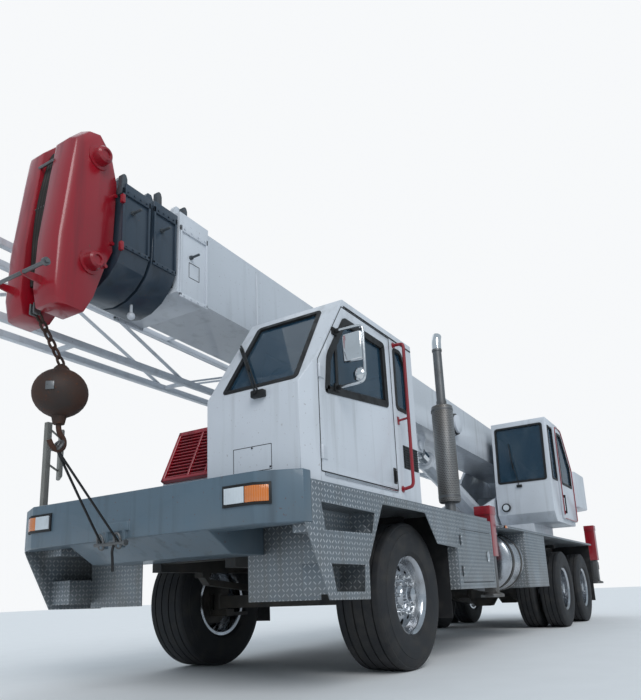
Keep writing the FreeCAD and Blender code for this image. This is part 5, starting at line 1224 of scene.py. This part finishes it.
def makeControls(c):
    addPlate(upright(c["outline"], c["side"]), (0, c["wide"], 0), 0.012, 3)
    addRod(*c["column"], 0.026, 20)
    for y in c["dials"]:
        addRod((1.352, y, 1.72), (1.344, y, 1.722), 0.038, 24)
    addPiece("driverDash", "carrier", "black_paint")
    turns = [math.tau * step / 10 for step in range(10)]
    addTurned("Z", [(c["grip"] * math.sin(a), c["ring"] + c["grip"] * math.cos(a)) for a in turns], (0, 0, 0), 48,
              closed=True)
    addTurned("Z", [(-0.02, 0.0), (-0.02, 0.034), (0.012, 0.034), (0.016, 0.0)], (0, 0, 0), 24)
    for a in map(math.radians, c["spokes"]):
        addRod((0, 0, 0), (0.178 * math.cos(a), 0.178 * math.sin(a), 0), 0.008, 10)
    tilt = Matrix.Translation(c["wheel"]) @ Matrix.Rotation(math.radians(c["tilt"]), 4, "Y")
    addPiece("steeringWheel", "carrier", *trimRubber, turn=onCarrier @ tilt)
    addBlock(*c["console"], 0.012, 3)
    for y in c["levers"]:
        addRod((-5.28, y, 2.0), (-5.30, y, 2.18), 0.007, 10)
        addTurned("Z", c["knob"], (-5.301, y, 0), 16)
    addPiece("operatorConsole", "upper_works", "black_paint")


makeControls(dashSizes)
print("seats ready")


# Tow pin and strap on the bumper, latch of the tool box

towSizes = {
    "x": 1.900, "z": 0.968, "pin": (-0.265, 0.020), "shackles": (-0.205, -0.040),
    "strap": [(1.900, -0.075, 0.965), (1.918, -0.078, 0.930), (1.905, -0.080, 0.86), (1.900, -0.085, 0.79)],
    "latch": (-1.511, 1.3005, 0.880),
    "latchRows": [(0, 0.0), (0, 0.034), (0.003, 0.034), (0.004, 0.026), (0.002, 0.024), (0.002, 0.0)],
}


def makeTow(c):
    x, z, (right, left) = c["x"], c["z"], c["pin"]
    addRod((x, right, z), (x, left, z), 0.013, 16, 0.003)
    addRod((x, left, z), (x, left + 0.014, z), 0.022, 6)
    addPiece("towPin", "carrier", "steel")
    lean = Vector((0.25, 0, 1)).normalized()
    addPipe("towShackles", [chainLink(Vector((x + 0.005, y, z + 0.017)), lean, axes["Y"], 0.052, 0.030)
                            for y in c["shackles"]], 0.009, "carrier", "steel", closed=True)
    addPipe("towStrap", [c["strap"]], 0.009, "carrier", *trimRubber)
    addTurned("Y", c["latchRows"], (0, 0, 0), 32)
    bmesh.ops.scale(draft, vec=(1, 1, 1.6), verts=draft.verts)
    addBlock((-0.010, 0.001, -0.038), (0.010, 0.006, 0.038), 0.0015)
    addPiece("boxLatch", "tool_box_door", "chrome", turn=onCarrier @ Matrix.Translation(c["latch"]))


makeTow(towSizes)
print("front fittings ready")


# Operator's cab: work lamp, red door edge and handle

opCabSizes = {
    "lamp": (0, 0.56, 1.73),
    "lampRim": [(-4.952, 0.0), (-4.952, 0.062), (-4.925, 0.066), (-4.905, 0.062), (-4.905, 0.052), (-4.915, 0.048),
                (-4.915, 0.0)],
    "lampLens": [(-4.916, 0.0), (-4.916, 0.048), (-4.906, 0.044), (-4.900, 0.0)],
    "edgeY": 1.286, "edge": [(-5.442, 1.60), (-5.442, 2.20), (-5.442, 2.90), (-5.46, 2.965), (-5.60, 2.968),
                             (-5.80, 2.968), (-5.86, 2.945), (-6.05, 2.73), (-6.33, 2.41), (-6.345, 2.36),
                             (-6.345, 1.9), (-6.345, 1.60), (-6.33, 1.545), (-5.9, 1.544), (-5.46, 1.545)],
    "handle": (1.62, 1.90),
}


def makeOpCab(c):
    addTurned("X", c["lampRim"], c["lamp"], 32)
    addPiece("workLampRim", "upper_works", *trimRubber)
    addTurned("X", c["lampLens"], c["lamp"], 32)
    addPiece("workLampLens", "upper_works", "lamp_plastic", clearLens)
    addPipe("opDoorEdge", [upright(c["edge"], c["edgeY"])], 0.007, "operator_door", "red_paint")
    low, high = c["handle"]
    for a, b in ((high - 0.04, high), (low, low + 0.04)):
        addBlock((-5.52, 1.28, a), (-5.47, 1.30, b), 0.004, 2)
    addBlock((-5.51, 1.296, low), (-5.48, 1.312, high), 0.006, 2)
    addPiece("opDoorHandle", "operator_door", *trimRubber)


makeOpCab(opCabSizes)


# Hub on the side of the boom, with two dark rings round it

hubSizes = {
    "centre": (-3.62, 0.298, 2.80),
    "rows": [(0.0, 0.0), (0.0, 0.155), (0.018, 0.155), (0.018, 0.118), (0.032, 0.118), (0.032, 0.150),
             (0.050, 0.150), (0.050, 0.112), (0.072, 0.112), (0.072, 0.130), (0.100, 0.128), (0.104, 0.120),
             (0.104, 0.0)],
    "rings": ([(0.019, 0.110), (0.019, 0.158), (0.031, 0.158), (0.031, 0.110)],
              [(0.051, 0.105), (0.051, 0.152), (0.071, 0.148), (0.071, 0.105)]),
}


def makeHub(c):
    addTurned("Y", c["rows"], c["centre"], 48)
    addPiece("boomSideHub", "boom_base", "white_paint")
    for ring in c["rings"]:
        addTurned("Y", ring, c["centre"], 48, closed=True)
    addPiece("boomHubRings", "boom_base", *trimRubber)


makeHub(hubSizes)
print("cab and boom fittings ready")


# Everything that is left takes the finish of its slot

for node in frame["nodes"].values():
    if not node.hide_render:
        for place in node.material_slots:
            if place.material.name in finishes:
                place.material = finishes[place.material.name]
